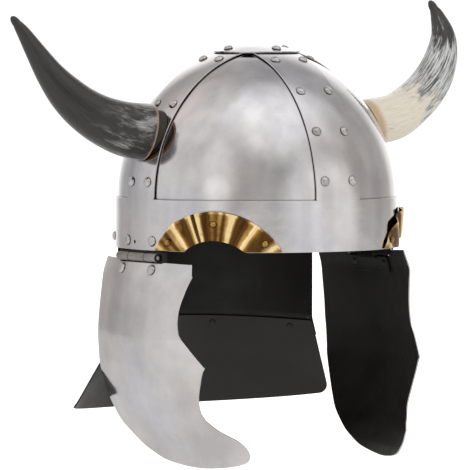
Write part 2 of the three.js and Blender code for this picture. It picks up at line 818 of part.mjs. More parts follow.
// Leaf inside the flap with the middle knuckle
function flapLeaf() {
  const top = -flapGap - 2 * seam;
  const upAt = (j) => top + (j / flapLeafRows) * (-flapLeafDown - top);
  const alongAt = (u) => leafHalf * (2 * u - 1);
  let solid = flapSheet(alongAt, upAt, sheet + seam + flapFacetDepth, leafColumns, flapLeafRows);
  const inner = flapPoint(middleKnuckleHalf, top).x - 2 * sheet - seam - flapFacetDepth;
  solid = solid.add(barrel(-middleKnuckleHalf, middleKnuckleHalf));
  solid = solid.add(box(
    [inner - 2 * sheet, -middleKnuckleHalf, top - 2 * sheet],
    [inner + sheet / 2, middleKnuckleHalf, -hingeDrop],
  ));
  for (const spot of flapRivetSpots()) {
    const head = spot.point.clone().addScaledVector(spot.normal, seam);
    solid = solid.add(seat(rivet(2 * sheet + 2 * seam + flapFacetDepth), head, spot.normal));
  }
  return solid.subtract(pinBore());
}

function addSide(name, place) {
  let flap = flapSolid(flapTopRise[name]);
  for (const spot of flapRivetSpots()) flap = flap.subtract(rivetHole(spot, holeDepth));
  add(`cheek_flap_${name}`, place(flap), steel);
  add(`hinge_band_leaf_${name}`, place(bandLeaf()), steel);
  add(`hinge_flap_leaf_${name}`, place(flapLeaf()), steel);
  const reach = barrelHalf + pinOverhang;
  const pin = bar(vec(bandRadius, -reach, -hingeDrop), yAxis, 2 * reach, pinRadius, barrelSides);
  add(`hinge_pin_${name}`, place(pin), steel);
}

// Horns: a curved cone, hollow at its base, on a plug that is fitted to the skull
function hornBase(horn) {
  const height = horn.rise * domeRise;
  return onBand(horn.turn, bandHeight + height, domeRadiusAt(height) + horn.standOff).point;
}

// Centres along a horn, from its root inside the skull to its tip
function hornCentres(horn, rows) {
  const base = hornBase(horn);
  const points = rows.map((row) => base.clone().add(
    vec(horn.span[0] * row.out, horn.span[1] * row.back, horn.span[2] * row.up),
  ));
  const away = points[1].clone().sub(base).normalize();
  return [base.addScaledVector(away, -hornRoot), ...points];
}

function hornRadii(horn, rows) {
  const radii = rows.map((row) => Math.max(horn.radius * row.thick, hornTip));
  return [horn.radius * hornRootThick, ...radii];
}

// The horn's core up to plugRow, its sides moved in by inset and its end back by endGap
function hornCore(horn, rows, inset, endGap) {
  const kept = plugRow + 2;
  const centres = hornCentres(horn, rows).slice(0, kept);
  const radii = hornRadii(horn, rows).slice(0, kept).map((radius) => radius - inset);
  const end = centres[kept - 1];
  const along = end.clone().sub(centres[kept - 2]).normalize();
  end.addScaledVector(along, -endGap);
  return loft(centres, radii, hornSides);
}

function hornBody(horn, rows) {
  const solid = loft(hornCentres(horn, rows), hornRadii(horn, rows), hornSides);
  const hollow = hornCore(horn, rows, hornWall, 0);
  return solid.subtract(hollow).subtract(rimCutter(horn)).subtract(domeBlock(hornSeat));
}

// Everything on the skull's side of the horn's cut rim
function rimCutter(horn) {
  const hand = Math.sign(horn.span[0]);
  const size = 4 * horn.radius;
  const block = new THREE.BoxGeometry(size, size, size);
  block.translate(-size / 2, 0, 0);
  block.rotateY(-rad(horn.rimTilt));
  block.rotateZ(-rad(horn.rimYaw));
  block.scale(hand, 1, 1);
  block.translate(...hornBase(horn).toArray());
  return solidOf(block);
}

function hornPlug(horn, rows) {
  return hornCore(horn, rows, hornWall + seam, seam).subtract(domeBlock(seam));
}

function addHorn(name, horn, rows, material) {
  add(`horn_${name}`, hornBody(horn, rows), material);
  add(`horn_plug_${name}`, hornPlug(horn, rows), blackWood);
}

addBand();
addSkull();
addHorn('left', hornLeft, hornLeftRows, paleHorn);
addHorn('right', hornRight, hornRightRows, darkHorn);
addNape();
addSide('left', (solid) => solid);
addSide('right', mirrored);

export default helmet;
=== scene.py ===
import math

import bpy
from mathutils import Matrix, Vector, noise
from mathutils.geometry import delaunay_2d_cdt


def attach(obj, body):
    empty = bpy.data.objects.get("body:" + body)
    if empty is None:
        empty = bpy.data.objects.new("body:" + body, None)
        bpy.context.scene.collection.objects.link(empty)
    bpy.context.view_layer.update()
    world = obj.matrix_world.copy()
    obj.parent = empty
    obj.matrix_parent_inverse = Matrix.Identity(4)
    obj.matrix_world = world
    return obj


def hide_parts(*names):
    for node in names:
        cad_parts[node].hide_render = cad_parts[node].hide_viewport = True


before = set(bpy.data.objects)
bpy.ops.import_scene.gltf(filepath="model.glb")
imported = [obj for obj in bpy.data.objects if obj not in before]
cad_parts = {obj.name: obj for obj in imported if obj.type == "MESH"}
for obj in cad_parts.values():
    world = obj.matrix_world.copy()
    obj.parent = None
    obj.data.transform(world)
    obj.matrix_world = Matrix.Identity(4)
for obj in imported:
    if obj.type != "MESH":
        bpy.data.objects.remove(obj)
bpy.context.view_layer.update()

# The helmet's shapes are worked out in millimetres and written as metres. +Z is up, the face
# looks along -Y and the wearer's left is +X. u and v are places on a sheet's flat pattern.
MM = 0.001
SHEET = 1.2
SEAM = 0.3


def table(columns, *rows):
    """Rows of numbers as dicts, under the columns' names."""
    return [dict(zip(columns.split(), row)) for row in rows]


# Rounding of the sheets' edges: worn, cut, hinge parts, and shut against the next sheet
WORN_EDGE = 0.45
TRIMMED_EDGE = 0.4
CUT_EDGE = 0.35
HINGE_BEVEL = 0.3
BAND_EDGE = 0.3
BRASS_EDGE = 0.25
SHUT_EDGE = 0.02

# Slow dents of the hammered sheets: height, length and seed
DENTS = {
    "skull": (0.2, 45, 0), "panel": (0.26, 50, 4), "crown": (0.14, 20, 2), "crown_rim": (0.8, 26, 9),
    "nape": (0.25, 50, 6), "flare": (0.3, 60, 7), "flap": (0.35, 55, 3),
}

# Brow band and skull
BAND_RADIUS = 107
BAND_HEIGHT = 38
DOME_RISE = 113.2
RIB_HALF = {"front": 20, "left": 18.2, "rear": 20, "right": 18.2}
RIB_TURN = {"front": 0, "left": 90, "rear": 180, "right": 270}
RIB_RIVET_ASIDE = {"front": 12.5, "left": 10.5, "rear": 12.5, "right": 10.5}
END_RIB_ROWS = [0.124, 0.446, 0.707, 0.91]
SIDE_RIB_ROWS = [0.111, 0.621, 0.915]
PANEL_GAP = 2.4
PANEL_SKIRT = 9
TOP_HOLE = 9
CROWN_RADIUS = 33.3
CROWN_DISH = 5.4
CROWN_RIVET_RADIUS = 26
SPARE_HOLE = {"turn": -93, "up": 6, "radius": 1.4}

# Rivets
HEAD = 3.65
HEAD_RISE = 2.4
SHANK = 1.5
TAIL = 2.7
TAIL_RISE = 0.8
DOME_SHARES = (0.2, 0.38, 0.54, 0.68, 0.8, 0.9, 0.97)
RIVET_UNEVEN = 0.34
CROWN_RIVET_GRIP = 4.6
BRASS_HEAD = 2.7
BRASS_HEAD_RISE = 1.9
# A larger power makes a head blunter
HEAD_POWER = 2.2
HINGE_HEAD_POWER = 2.8

# Brass crescents
CRESCENT_TURNS = {"left": 54, "right": 52}
CRESCENT_CENTRE = -28
CRESCENT_OUTER = 58
CRESCENT_INNER = 36.6
CRESCENT_END = 60.3
CRESCENT_FOOT = 0.4
CRESCENT_SHEET = 1
CRESCENT_LIFT = 0.5
FLUTE_FADE = 12
FLUTE_INNER = 1.4
FLUTE_OUTER = 3.8
EYE_MARGIN = -0.4
# Ridges by their fan angle, with how far each rises and falls in degrees and its share of height
CRESCENT_RIDGES = table(
    "fan up down high",
    (-57, 8, 7, 0.6), (-34, 12, 9, 0.95), (-15, 6, 9, 1.0), (-7, 4, 5, 0.25),
    (13, 7, 5, 1.0), (18, 3, 8, 0.75), (34, 9, 10, 0.9), (58, 6, 8, 0.5),
)
CRESCENT_RIVETS = table("fan share", (-47.5, 0.58), (0, 0.56), (47.5, 0.58))

# Neck guard
NAPE_SPAN = 59.5
NAPE_TOP = 15
NAPE_FOLD = -55
NAPE_FOLD_DROP = 5
NAPE_FLANGE = 16
NAPE_BEND = 1.6
FLARE_ANGLE = 29.5
FLARE_START = 2
FLARE_BOTTOM = -129.5
FLARE_END_RISE = 9.3
FLARE_CORNER = 8.5
NAPE_RIVET_UP = 7.8
NAPE_RIVET_TURNS = [-54, -18, 18, 54]
FLARE_RIVET_TURNS = [-49, -16, 16, 49]
FLARE_RIVET_DOWN = 8.2

# Cheek flaps
FLAP_TOP = -8.8
FLAP_DROP = 151
FLAP_HALF = 57.3
FLAP_BULGE = 8.6
FLAP_PLAN_RADIUS = 177
FLAP_TOP_RISE = {"left": {"front": 5.9, "back": 0}, "right": {"front": 0, "back": 2.3}}
# Shares of the drop, the front and back edges as shares of the half width, shares of the bulge
FLAP_ROWS = table(
    "drop front back out",
    (0, -1.009, 0.981, 0.09), (0.061, -1.059, 0.988, 0.44), (0.14, -0.972, 0.993, 0.64),
    (0.24, -0.901, 0.997, 0.85), (0.339, -0.93, 1, 0.98), (0.399, -1.065, 0.988, 1),
    (0.498, -1.309, 0.963, 0.93), (0.518, -1.274, 0.958, 0.89), (0.564, -1.229, 0.925, 0.76),
    (0.66, -1.152, 0.829, 0.4), (0.736, -1.15, 0.724, -0.02), (0.803, -1.302, 0.602, -0.49),
    (0.862, -1.538, 0.41, -1.05), (0.909, -1.599, 0.227, -1.43), (0.948, -1.56, 0, -1.74),
    (0.975, -1.424, -0.209, -1.88), (1, -0.995, -0.698, -1.99),
)
# The rows at which the outline has a corner: its top, its notch and its point
FLAP_CORNER_ROWS = [0, 1, 6]

# Hinges
HINGE_DROP = 5
BARREL_RADIUS = 3.25
PIN_RADIUS = 1.5
PIN_OVERHANG = 1.2
LEAF_HALF = 25
BARREL_HALF = 26
MIDDLE_HALF = 10.5
BAND_LEAF_TOP = 14
FLAP_LEAF_BOTTOM = -22
BAND_LEAF_RIVET = {"along": 16.2, "up": 7, "head": 3.9, "rise": 1.9}
FLAP_LEAF_RIVET = {"along": 19.4, "up": -14, "head": 4, "rise": 2.1}
WEB_DROP = 3.6
WEB_INSET = 2.2
WEB_REACH = 3.2
LEAF_CORNER = 2
KNUCKLE_EDGE = 0.8

# Horns: shares of the span outwards, back and up, and of the radius
HORN_WALL = 3.6
HORN_ROOT = 16
HORN_COLUMNS = "out back up thick"
HORN_SIDES = 48
HORN_RIM_FADE = 34
HORN_RIM = table("wall depth", (0.5, -0.35), (HORN_WALL - 0.4, 0), (HORN_WALL, 0.5),
                 (HORN_WALL + 0.6, 18))
PLUG_DEPTH = 12
PLUG_CLEARANCE = 0.3
HORN_CLEARANCE = 0.4
HORN_LUMPS = 0.016
HORN_LUMP_LENGTH = 38
HORNS = {
    "right": {
        "radius": 21.5, "turn": -90.3, "rise": 0.4346, "stand_off": 2.64,
        "span": (-94.2, 38.5, 85.7), "tilt": 12, "yaw": -12,
        "rows": table(
            HORN_COLUMNS,
            (0, 0, 0, 1), (0.193, 0.04, 0.032, 0.94), (0.38, 0.121, 0.104, 0.847),
            (0.54, 0.227, 0.212, 0.744), (0.67, 0.353, 0.349, 0.633),
            (0.772, 0.496, 0.505, 0.493), (0.851, 0.654, 0.675, 0.367),
            (0.922, 0.827, 0.848, 0.245), (0.967, 0.925, 0.94, 0.15), (1, 1, 1, 0),
        ),
    },
    "left": {
        "radius": 18, "turn": 83.56, "rise": 0.4859, "stand_off": 4.6,
        "span": (96.6, 50, 94.6), "tilt": 25, "yaw": 16,
        "rows": table(
            HORN_COLUMNS,
            (0, 0, 0, 1), (0.277, 0.081, 0.042, 0.975), (0.48, 0.177, 0.133, 0.93),
            (0.668, 0.291, 0.249, 0.88), (0.827, 0.417, 0.387, 0.815),
            (0.947, 0.554, 0.543, 0.7), (1.02, 0.698, 0.706, 0.53),
            (1.026, 0.849, 0.861, 0.32), (1.016, 0.93, 0.935, 0.19), (1, 1, 1, 0),
        ),
    },
}

# Camera
CAMERA_AZIMUTH = -34.65
CAMERA_ELEVATION = 2.6
CAMERA_DISTANCE = 3000
CAMERA_ASIDE = -16.41
CAMERA_UP = 8.34
CAMERA_LENS = 303.3
FLOOR_HEIGHT = -330
FLOOR_GLOW = 0.8
FLOOR_BOUNCE = 0.16

# Studio: a grey tent with soft boxes, by their turn to the camera's right, rise and half angles
STUDIO_GREY = 0.53
SOFT_BOXES = table(
    "turn rise inner outer power",
    (54.5, -3, 16, 40, 0.52), (-68, 30, 24, 62, 0.34), (29.5, 62, 1, 44, 0.68),
    (174, 10, 1, 42, 0.85), (-33.5, 5, 1, 13, 0.38), (-93.5, -29, 17, 28, 0.2),
    (82, 48, 14, 25, 0.2),
)


def rad(degrees):
    return math.radians(degrees)


def circle(count, sense=1):
    """Directions round a circle, as pairs of cosine and sine."""
    turns = [sense * 2 * math.pi * k / count for k in range(count)]
    return [(math.cos(turn), math.sin(turn)) for turn in turns]


def wobble(point, sheet):
    """Dents of a hammered sheet, in millimetres along the normal."""
    size, length, seed = DENTS[sheet]
    shift = Vector((seed, 2.3 * seed, 1.7))
    slow = noise.noise(point / length + shift)
    quick = noise.noise(point / (0.36 * length) - shift)
    return size * (slow + 0.3 * quick)


# Materials


def fill(tree, node, inputs):
    """Sets sockets, by name or number: each to a value, or linked to another socket."""
    for key, value in inputs.items():
        if isinstance(value, bpy.types.NodeSocket):
            tree.links.new(value, node.inputs[key])
        else:
            node.inputs[key].default_value = value


def put(tree, kind, inputs=None, **settings):
    made = tree.nodes.new(kind)
    for key, value in settings.items():
        setattr(made, key, value)
    fill(tree, made, inputs or {})
    return made


def nodes_of(name):
    """A new material with its node tree, its shader and the place on the object."""
    material = bpy.data.materials.new(name)
    material.use_nodes = True
    tree = material.node_tree
    place = put(tree, "ShaderNodeTexCoord").outputs["Object"]
    return material, tree, tree.nodes["Principled BSDF"], place


def attribute(tree, name):
    """An attribute of the mesh, and its third part by itself."""
    vector = put(tree, "ShaderNodeAttribute", attribute_name=name).outputs["Vector"]
    return vector, put(tree, "ShaderNodeSeparateXYZ", {0: vector}).outputs[2]


def maths(tree, way, *values):
    return put(tree, "ShaderNodeMath", dict(enumerate(values)), operation=way).outputs[0]


def spread(tree, source, span, reach=(0, 1), way="LINEAR"):
    """Maps the span of source to reach."""
    inputs = {0: source, 1: span[0], 2: span[1], 3: reach[0], 4: reach[1]}
    return put(tree, "ShaderNodeMapRange", inputs, interpolation_type=way).outputs[0]


def ramp(tree, source, stops):
    """Colour ramp through (place, colour) stops; a colour may be one grey number."""
    made = put(tree, "ShaderNodeValToRGB", {0: source})
    elements = made.color_ramp.elements
    while len(elements) < len(stops):
        elements.new(0.5)
    for element, (place, colour) in zip(elements, stops):
        element.position = place
        if isinstance(colour, (int, float)):
            colour = (colour, colour, colour)
        element.color = (*colour, 1)
    return made.outputs[0]


def mix(tree, share, first, second, way="MIX"):
    made = put(tree, "ShaderNodeMix", {0: share, 6: first, 7: second}, data_type="RGBA",
               blend_type=way)
    return made.outputs[2]


def tinted(tree, share, colour, source, stops):
    """Colour multiplied by a ramp through source."""
    return mix(tree, share, colour, ramp(tree, source, stops), "MULTIPLY")


def shade_in_seams(tree, share, colour, reach, edge, dark):
    """Colour darkened as painted shade in seams up to reach millimetres wide, where the ambient
    occlusion finds the rays blocked.
    """
    # Painted shade: the ambient occlusion darkens the colour in seams and round rivets
    crevice = put(tree, "ShaderNodeAmbientOcclusion", {"Distance": reach * MM})
    return tinted(tree, share, colour, crevice.outputs["AO"], [(0.45, dark), (edge, 1.0)])


def cloud(tree, vector, scale, detail=3.0, roughness=0.5, stretch=(1, 1, 1)):
    mapping = put(tree, "ShaderNodeMapping", {0: vector, 3: stretch})
    made = put(tree, "ShaderNodeTexNoise", {
        "Vector": mapping.outputs[0], "Scale": scale, "Detail": detail, "Roughness": roughness,
    })
    return made.outputs[0]


def bump(tree, height, strength, depth, before=None):
    """A relief of depth millimetres, over the one before."""
    inputs = {"Height": height, "Strength": strength, "Distance": depth * MM}
    if before is not None:
        inputs["Normal"] = before
    return put(tree, "ShaderNodeBump", inputs).outputs[0]


def steel_material(name, light, dark, rough, seam_shade=0.75):
    """Satin polished sheet: cloudy tone, fine rubbing marks, painted shade in the seams."""
    material, tree, shader, place = nodes_of(name)
    flat, _ = attribute(tree, "flat")
    colour = ramp(tree, cloud(tree, place, 26, 4, 0.6), [(0.3, dark), (0.62, light)])
    colour = tinted(tree, 0.8, colour, cloud(tree, place, 11, 2),
                    [(0.36, (0.93, 0.95, 1)), (0.5, 1.0), (0.64, (1, 0.94, 0.92))])
    rubbing = cloud(tree, flat, 1.1, 2, 0.6, (0.12, 1.6, 1))
    fine = cloud(tree, flat, 3.2, 2, 0.7, (0.05, 1.4, 1))
    colour = tinted(tree, 0.35, colour, fine, [(0.3, 0.9), (0.7, 1.0)])
    colour = tinted(tree, 0.2, colour, cloud(tree, place, 420, 2), [(0.26, 0.45), (0.31, 1.0)])
    sheen = maths(tree, "MULTIPLY", rubbing, 0.5)
    level = maths(tree, "ADD", cloud(tree, place, 18, 3, 0.6), sheen)
    dents = bump(tree, cloud(tree, place, 55, 2), 0.35, 0.25)
    # The base colour carries painted shade in the seams and round the rivets
    fill(tree, shader, {
        "Base Color": shade_in_seams(tree, seam_shade, colour, 2.6, 0.9, (0.07, 0.06, 0.055)),
        "Metallic": 1, "Roughness": spread(tree, level, (0.45, 1.05), rough),
        "Normal": bump(tree, fine, 0.12, 0.02, dents),
    })
    return material


def paint_material(name, dark, light, rough):
    """Black paint on the inner faces, a little uneven and scuffed."""
    material, tree, shader, place = nodes_of(name)
    colour = ramp(tree, cloud(tree, place, 22, 5, 0.6), [(0.35, dark), (0.7, light)])
    bare = ramp(tree, cloud(tree, place, 190, 3, 0.6), [(0.74, 0.0), (0.78, 1.0)])
    fill(tree, shader, {
        "Base Color": mix(tree, bare, colour, (0.12, 0.11, 0.1, 1)),
        "Roughness": spread(tree, cloud(tree, place, 40, 3, 0.6), (0.3, 0.7), rough),
        "Specular IOR Level": 0.35, "Normal": bump(tree, cloud(tree, place, 700, 2), 0.25, 0.08),
    })
    return material


def brass_material(name, brightening):
    """Brass; brightening says how much the third part of the attribute flat brightens it: on the
    crescents their rubbed wear and the painted highlight on the ridges' flanks, on rivets the height up
    the head.
    """
    material, tree, shader, place = nodes_of(name)
    _, wear_and_sheen = attribute(tree, "flat")
    tone = cloud(tree, place, 60, 4, 0.6)
    level = maths(tree, "MULTIPLY_ADD", wear_and_sheen, brightening, maths(tree, "MULTIPLY", tone, 0.9))
    colour = ramp(tree, level, [
        (0.38, (0.1, 0.046, 0.012)), (0.6, (0.28, 0.145, 0.038)), (0.82, (0.52, 0.31, 0.095)),
        (1.0, (0.88, 0.67, 0.34)),
    ])
    colour = tinted(tree, 0.5, colour, cloud(tree, place, 240, 4, 0.7), [(0.3, 0.45), (0.42, 1.0)])
    # The base colour carries painted shade in the seams and round the rivets
    fill(tree, shader, {
        "Base Color": shade_in_seams(tree, 0.8, colour, 4, 0.92, (0.1, 0.05, 0.02)),
        "Metallic": 1, "Roughness": spread(tree, tone, (0.3, 0.7), (0.2, 0.1)),
        "Normal": bump(tree, cloud(tree, place, 150, 2), 0.4, 0.3),
    })
    return material


def horn_material(name, pale):
    """Horn: fibres along its length; grain holds the turn round it and the share along it."""
    material, tree, shader, _ = nodes_of(name)
    grain, along = attribute(tree, "grain")
    fibres = cloud(tree, grain, 7, 4, 0.65, (2.2, 2.2, 1.1))
    hairs = cloud(tree, grain, 26, 3, 0.7, (2.4, 2.4, 0.55))
    patches = cloud(tree, grain, 2.6, 4, 0.6, (1.1, 1.1, 3.2))
    if pale:
        bark, reach, rough = (0.55, 0.38, 0.2), 0.045, (0.3, 0.5)
        cream = ramp(tree, hairs, [(0.3, (0.58, 0.48, 0.33)), (0.45, (0.8, 0.72, 0.58)),
                                   (0.7, (0.93, 0.88, 0.78))])
        streak = ramp(tree, fibres, [(0.38, (0.035, 0.032, 0.032)), (0.46, (0.25, 0.245, 0.245)),
                                     (0.54, (0.66, 0.66, 0.65))])
        dark = ramp(tree, fibres, [(0.35, (0.011, 0.01, 0.009)), (0.75, (0.055, 0.05, 0.046))])
        edge = maths(tree, "MULTIPLY_ADD", along, 0.5, maths(tree, "MULTIPLY", patches, 0.45))
        first = ramp(tree, edge, [(0.35, 0.0), (0.42, 1.0)])
        second = ramp(tree, edge, [(0.56, 0.0), (0.62, 1.0)])
        colour = mix(tree, second, mix(tree, first, cream, streak), dark)
    else:
        bark, reach, rough = (0.4, 0.25, 0.15), 0.014, (0.2, 0.42)
        body = ramp(tree, fibres, [(0.35, (0.009, 0.0075, 0.007)), (0.7, (0.034, 0.029, 0.026))])
        grey = ramp(tree, hairs, [(0.4, (0.07, 0.064, 0.06)), (0.6, (0.5, 0.49, 0.48))])
        near = ramp(tree, along, [(0.0, 1.0), (0.16, 0.7), (0.36, 0.0)])
        amount = tinted(tree, 1.0, near, patches, [(0.48, 0.0), (0.62, 1.0)])
        colour = mix(tree, amount, body, grey)
    sawn = ramp(tree, along, [(0.5 * reach, 0.85), (reach, 0.0)])
    fill(tree, shader, {
        "Base Color": mix(tree, sawn, colour, (*bark, 1)),
        "Roughness": spread(tree, hairs, (0.3, 0.7), rough),
        "Coat Weight": 0.25, "Coat Roughness": 0.12, "Specular IOR Level": 0.4,
        "Normal": bump(tree, hairs, 0.25, 0.12, bump(tree, fibres, 0.35, 0.5)),
    })
    return material


def raw_material(name, grain, stops, rough, relief):
    """Sawn horn or wood, with one grain for its tone and its relief."""
    material, tree, shader, place = nodes_of(name)
    tone = cloud(tree, place, *grain)
    fill(tree, shader, {"Base Color": ramp(tree, tone, stops), "Roughness": rough,
                        "Normal": bump(tree, tone, *relief)})
    return material


def sawn_material(name, outer, inner):
    """The sawn rim of a horn: a light skin with a browner core."""
    return raw_material(name, (160, 4, 0.7), [(0.35, inner), (0.65, outer)], 0.62, (0.5, 0.2))


STEEL = steel_material("steel_satin", (0.67, 0.645, 0.635), (0.54, 0.515, 0.51), (0.05, 0.17))
# The last number is the share of painted shade in the seams round rivets and hinges
RIVET_STEEL = steel_material("steel_rivet", (0.62, 0.6, 0.58), (0.36, 0.34, 0.33), (0.16, 0.32),
                             0.95)
HINGE_STEEL = steel_material("steel_hinge", (0.42, 0.4, 0.385), (0.2, 0.17, 0.155), (0.34, 0.6),
                             0.9)
PAINT = paint_material("paint_black", (0.0058, 0.0046, 0.0038), (0.0115, 0.009, 0.0072),
                       (0.42, 0.62))
# A lighter, glossier copy of the black paint for the flare: its extra lightness is painted light for
# the light the flare's inner face catches
LIT_FLARE_PAINT = paint_material("paint_flare_lit", (0.0095, 0.0074, 0.006), (0.0165, 0.0128, 0.0105),
                             (0.36, 0.52))
BRASS = brass_material("brass_polished", 1.0)
RIVET_BRASS = brass_material("brass_rivet", 0.12)
HORN_SKIN = {"right": horn_material("horn_dark", False), "left": horn_material("horn_pale", True)}
HORN_CUT = {
    "right": sawn_material("horn_cut_dark", (0.42, 0.27, 0.17), (0.1, 0.06, 0.045)),
    "left": sawn_material("horn_cut_pale", (0.62, 0.48, 0.3), (0.4, 0.27, 0.15)),
}
PLUG = raw_material("plug_wood", (90, 4, 0.6, (0.2, 1, 1)),
                    [(0.3, (0.008, 0.006, 0.005)), (0.7, (0.035, 0.024, 0.018))], 0.6, (0.4, 0.3))


# Meshes


def make_mesh(name, points, faces, normals, owners, materials, flat=None, attribute="flat"):
    """An object of smooth faces from millimetre points, with its own normals."""
    mesh = bpy.data.meshes.new(name)
    mesh.from_pydata([tuple(point * MM) for point in points], [], faces)
    for material in materials:
        mesh.materials.append(material)
    mesh.polygons.foreach_set("material_index", owners)
    mesh.polygons.foreach_set("use_smooth", [True] * len(faces))
    if flat is not None:
        layer = mesh.attributes.new(attribute, "FLOAT_VECTOR", "POINT")
        layer.data.foreach_set("vector", [x for spot in flat for x in spot])
    if normals is not None:
        mesh.normals_split_custom_set_from_vertices([tuple(normal) for normal in normals])
    piece = bpy.data.objects.new(name, mesh)
    bpy.context.scene.collection.objects.link(piece)
    return piece


def seated(piece, body, slot, *replaced):
    """Puts a piece on a body and hides the solids whose place it takes. slot is not used."""
    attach(piece, body)
    if replaced:
        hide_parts(*replaced)


def straight(start, end, step):
    """Points about step apart from start to end, the end left out."""
    start, end = Vector(start), Vector(end)
    count = max(1, round((end - start).length / step))
    return [start.lerp(end, k / count) for k in range(count)]


def outline(*corners):
    """Points along a closed outline of (u, v, step) corners, with the step to the next one."""
    loop = []
    for start, end in zip(corners, corners[1:] + corners[:1]):
        loop += straight(start[:2], end[:2], start[2])
    return loop


def two_sided(right, left, low_step, high_step):
    """Outline from two rising edges, closed by straight lines."""
    low = straight(left[0], right[0], low_step)
    return low + right[:-1] + straight(right[-1], left[-1], high_step) + left[:0:-1]


def curve_through(points, step):
    """Catmull-Rom curve through flat points, as points about step apart, its last left out."""
    ends = [2 * points[0] - points[1], *points, 2 * points[-1] - points[-2]]
    made = []
    for k in range(1, len(ends) - 2):
        near, knots = ends[k - 1:k + 3], [0.0]
        for first, second in zip(near, near[1:]):
            knots.append(knots[-1] + max((second - first).length, 1e-6) ** 0.5)
        count = max(1, round((near[2] - near[1]).length / step))
        for i in range(count):
            t = knots[1] + (knots[2] - knots[1]) * i / count
            row = near
            for wide, offset in ((1, 0), (2, 0), (1, 1)):
                shares = [(knots[j + wide] - t) / (knots[j + wide] - knots[j])
                          for j in range(offset, offset + len(row) - 1)]
                row = [share * a + (1 - share) * b for share, a, b in zip(shares, row, row[1:])]
            made.append(row[0])
    return made


def inside(point, loop):
    """True if a flat point lies inside a closed loop."""
    held = False
    before = loop[-1]
    for here in loop:
        if (here.y > point.y) != (before.y > point.y):
            cross = before.x + (point.y - before.y) * (here.x - before.x) / (here.y - before.y)
            held ^= point.x < cross
        before = here
    return held


def on_sheet(point, loops):
    """True inside the first loop and outside its holes."""
    return inside(point, loops[0]) and not any(inside(point, hole) for hole in loops[1:])


def clear_of(point, loop, gap):
    return all((point - here).length_squared > gap * gap for here in loop)


def loop_normals(loop, joined):
    """Outward directions in the flat at each point, and which edges are free, not joined."""
    sides, free = [], []
    for here, after in zip(loop, loop[1:] + loop[:1]):
        edge = (after - here).normalized()
        sides.append(Vector((edge.y, -edge.x)))
        free.append(not joined(here, after))
    made = []
    for k in range(len(loop)):
        used = [sides[i] for i in (k - 1, k) if free[i]]
        total = sum(used, Vector((0, 0)))
        if used and total.length > 1e-6:
            total.normalize()
            total /= max(0.6, total.dot(used[0]))
        made.append(total)
    return made, free


# Angles at which the rings of points on a rounded edge lie
ARC = [0, 30, 60, 90]
# Distance on the flat pattern over which a sheet's normal is measured
NEAR = 0.25


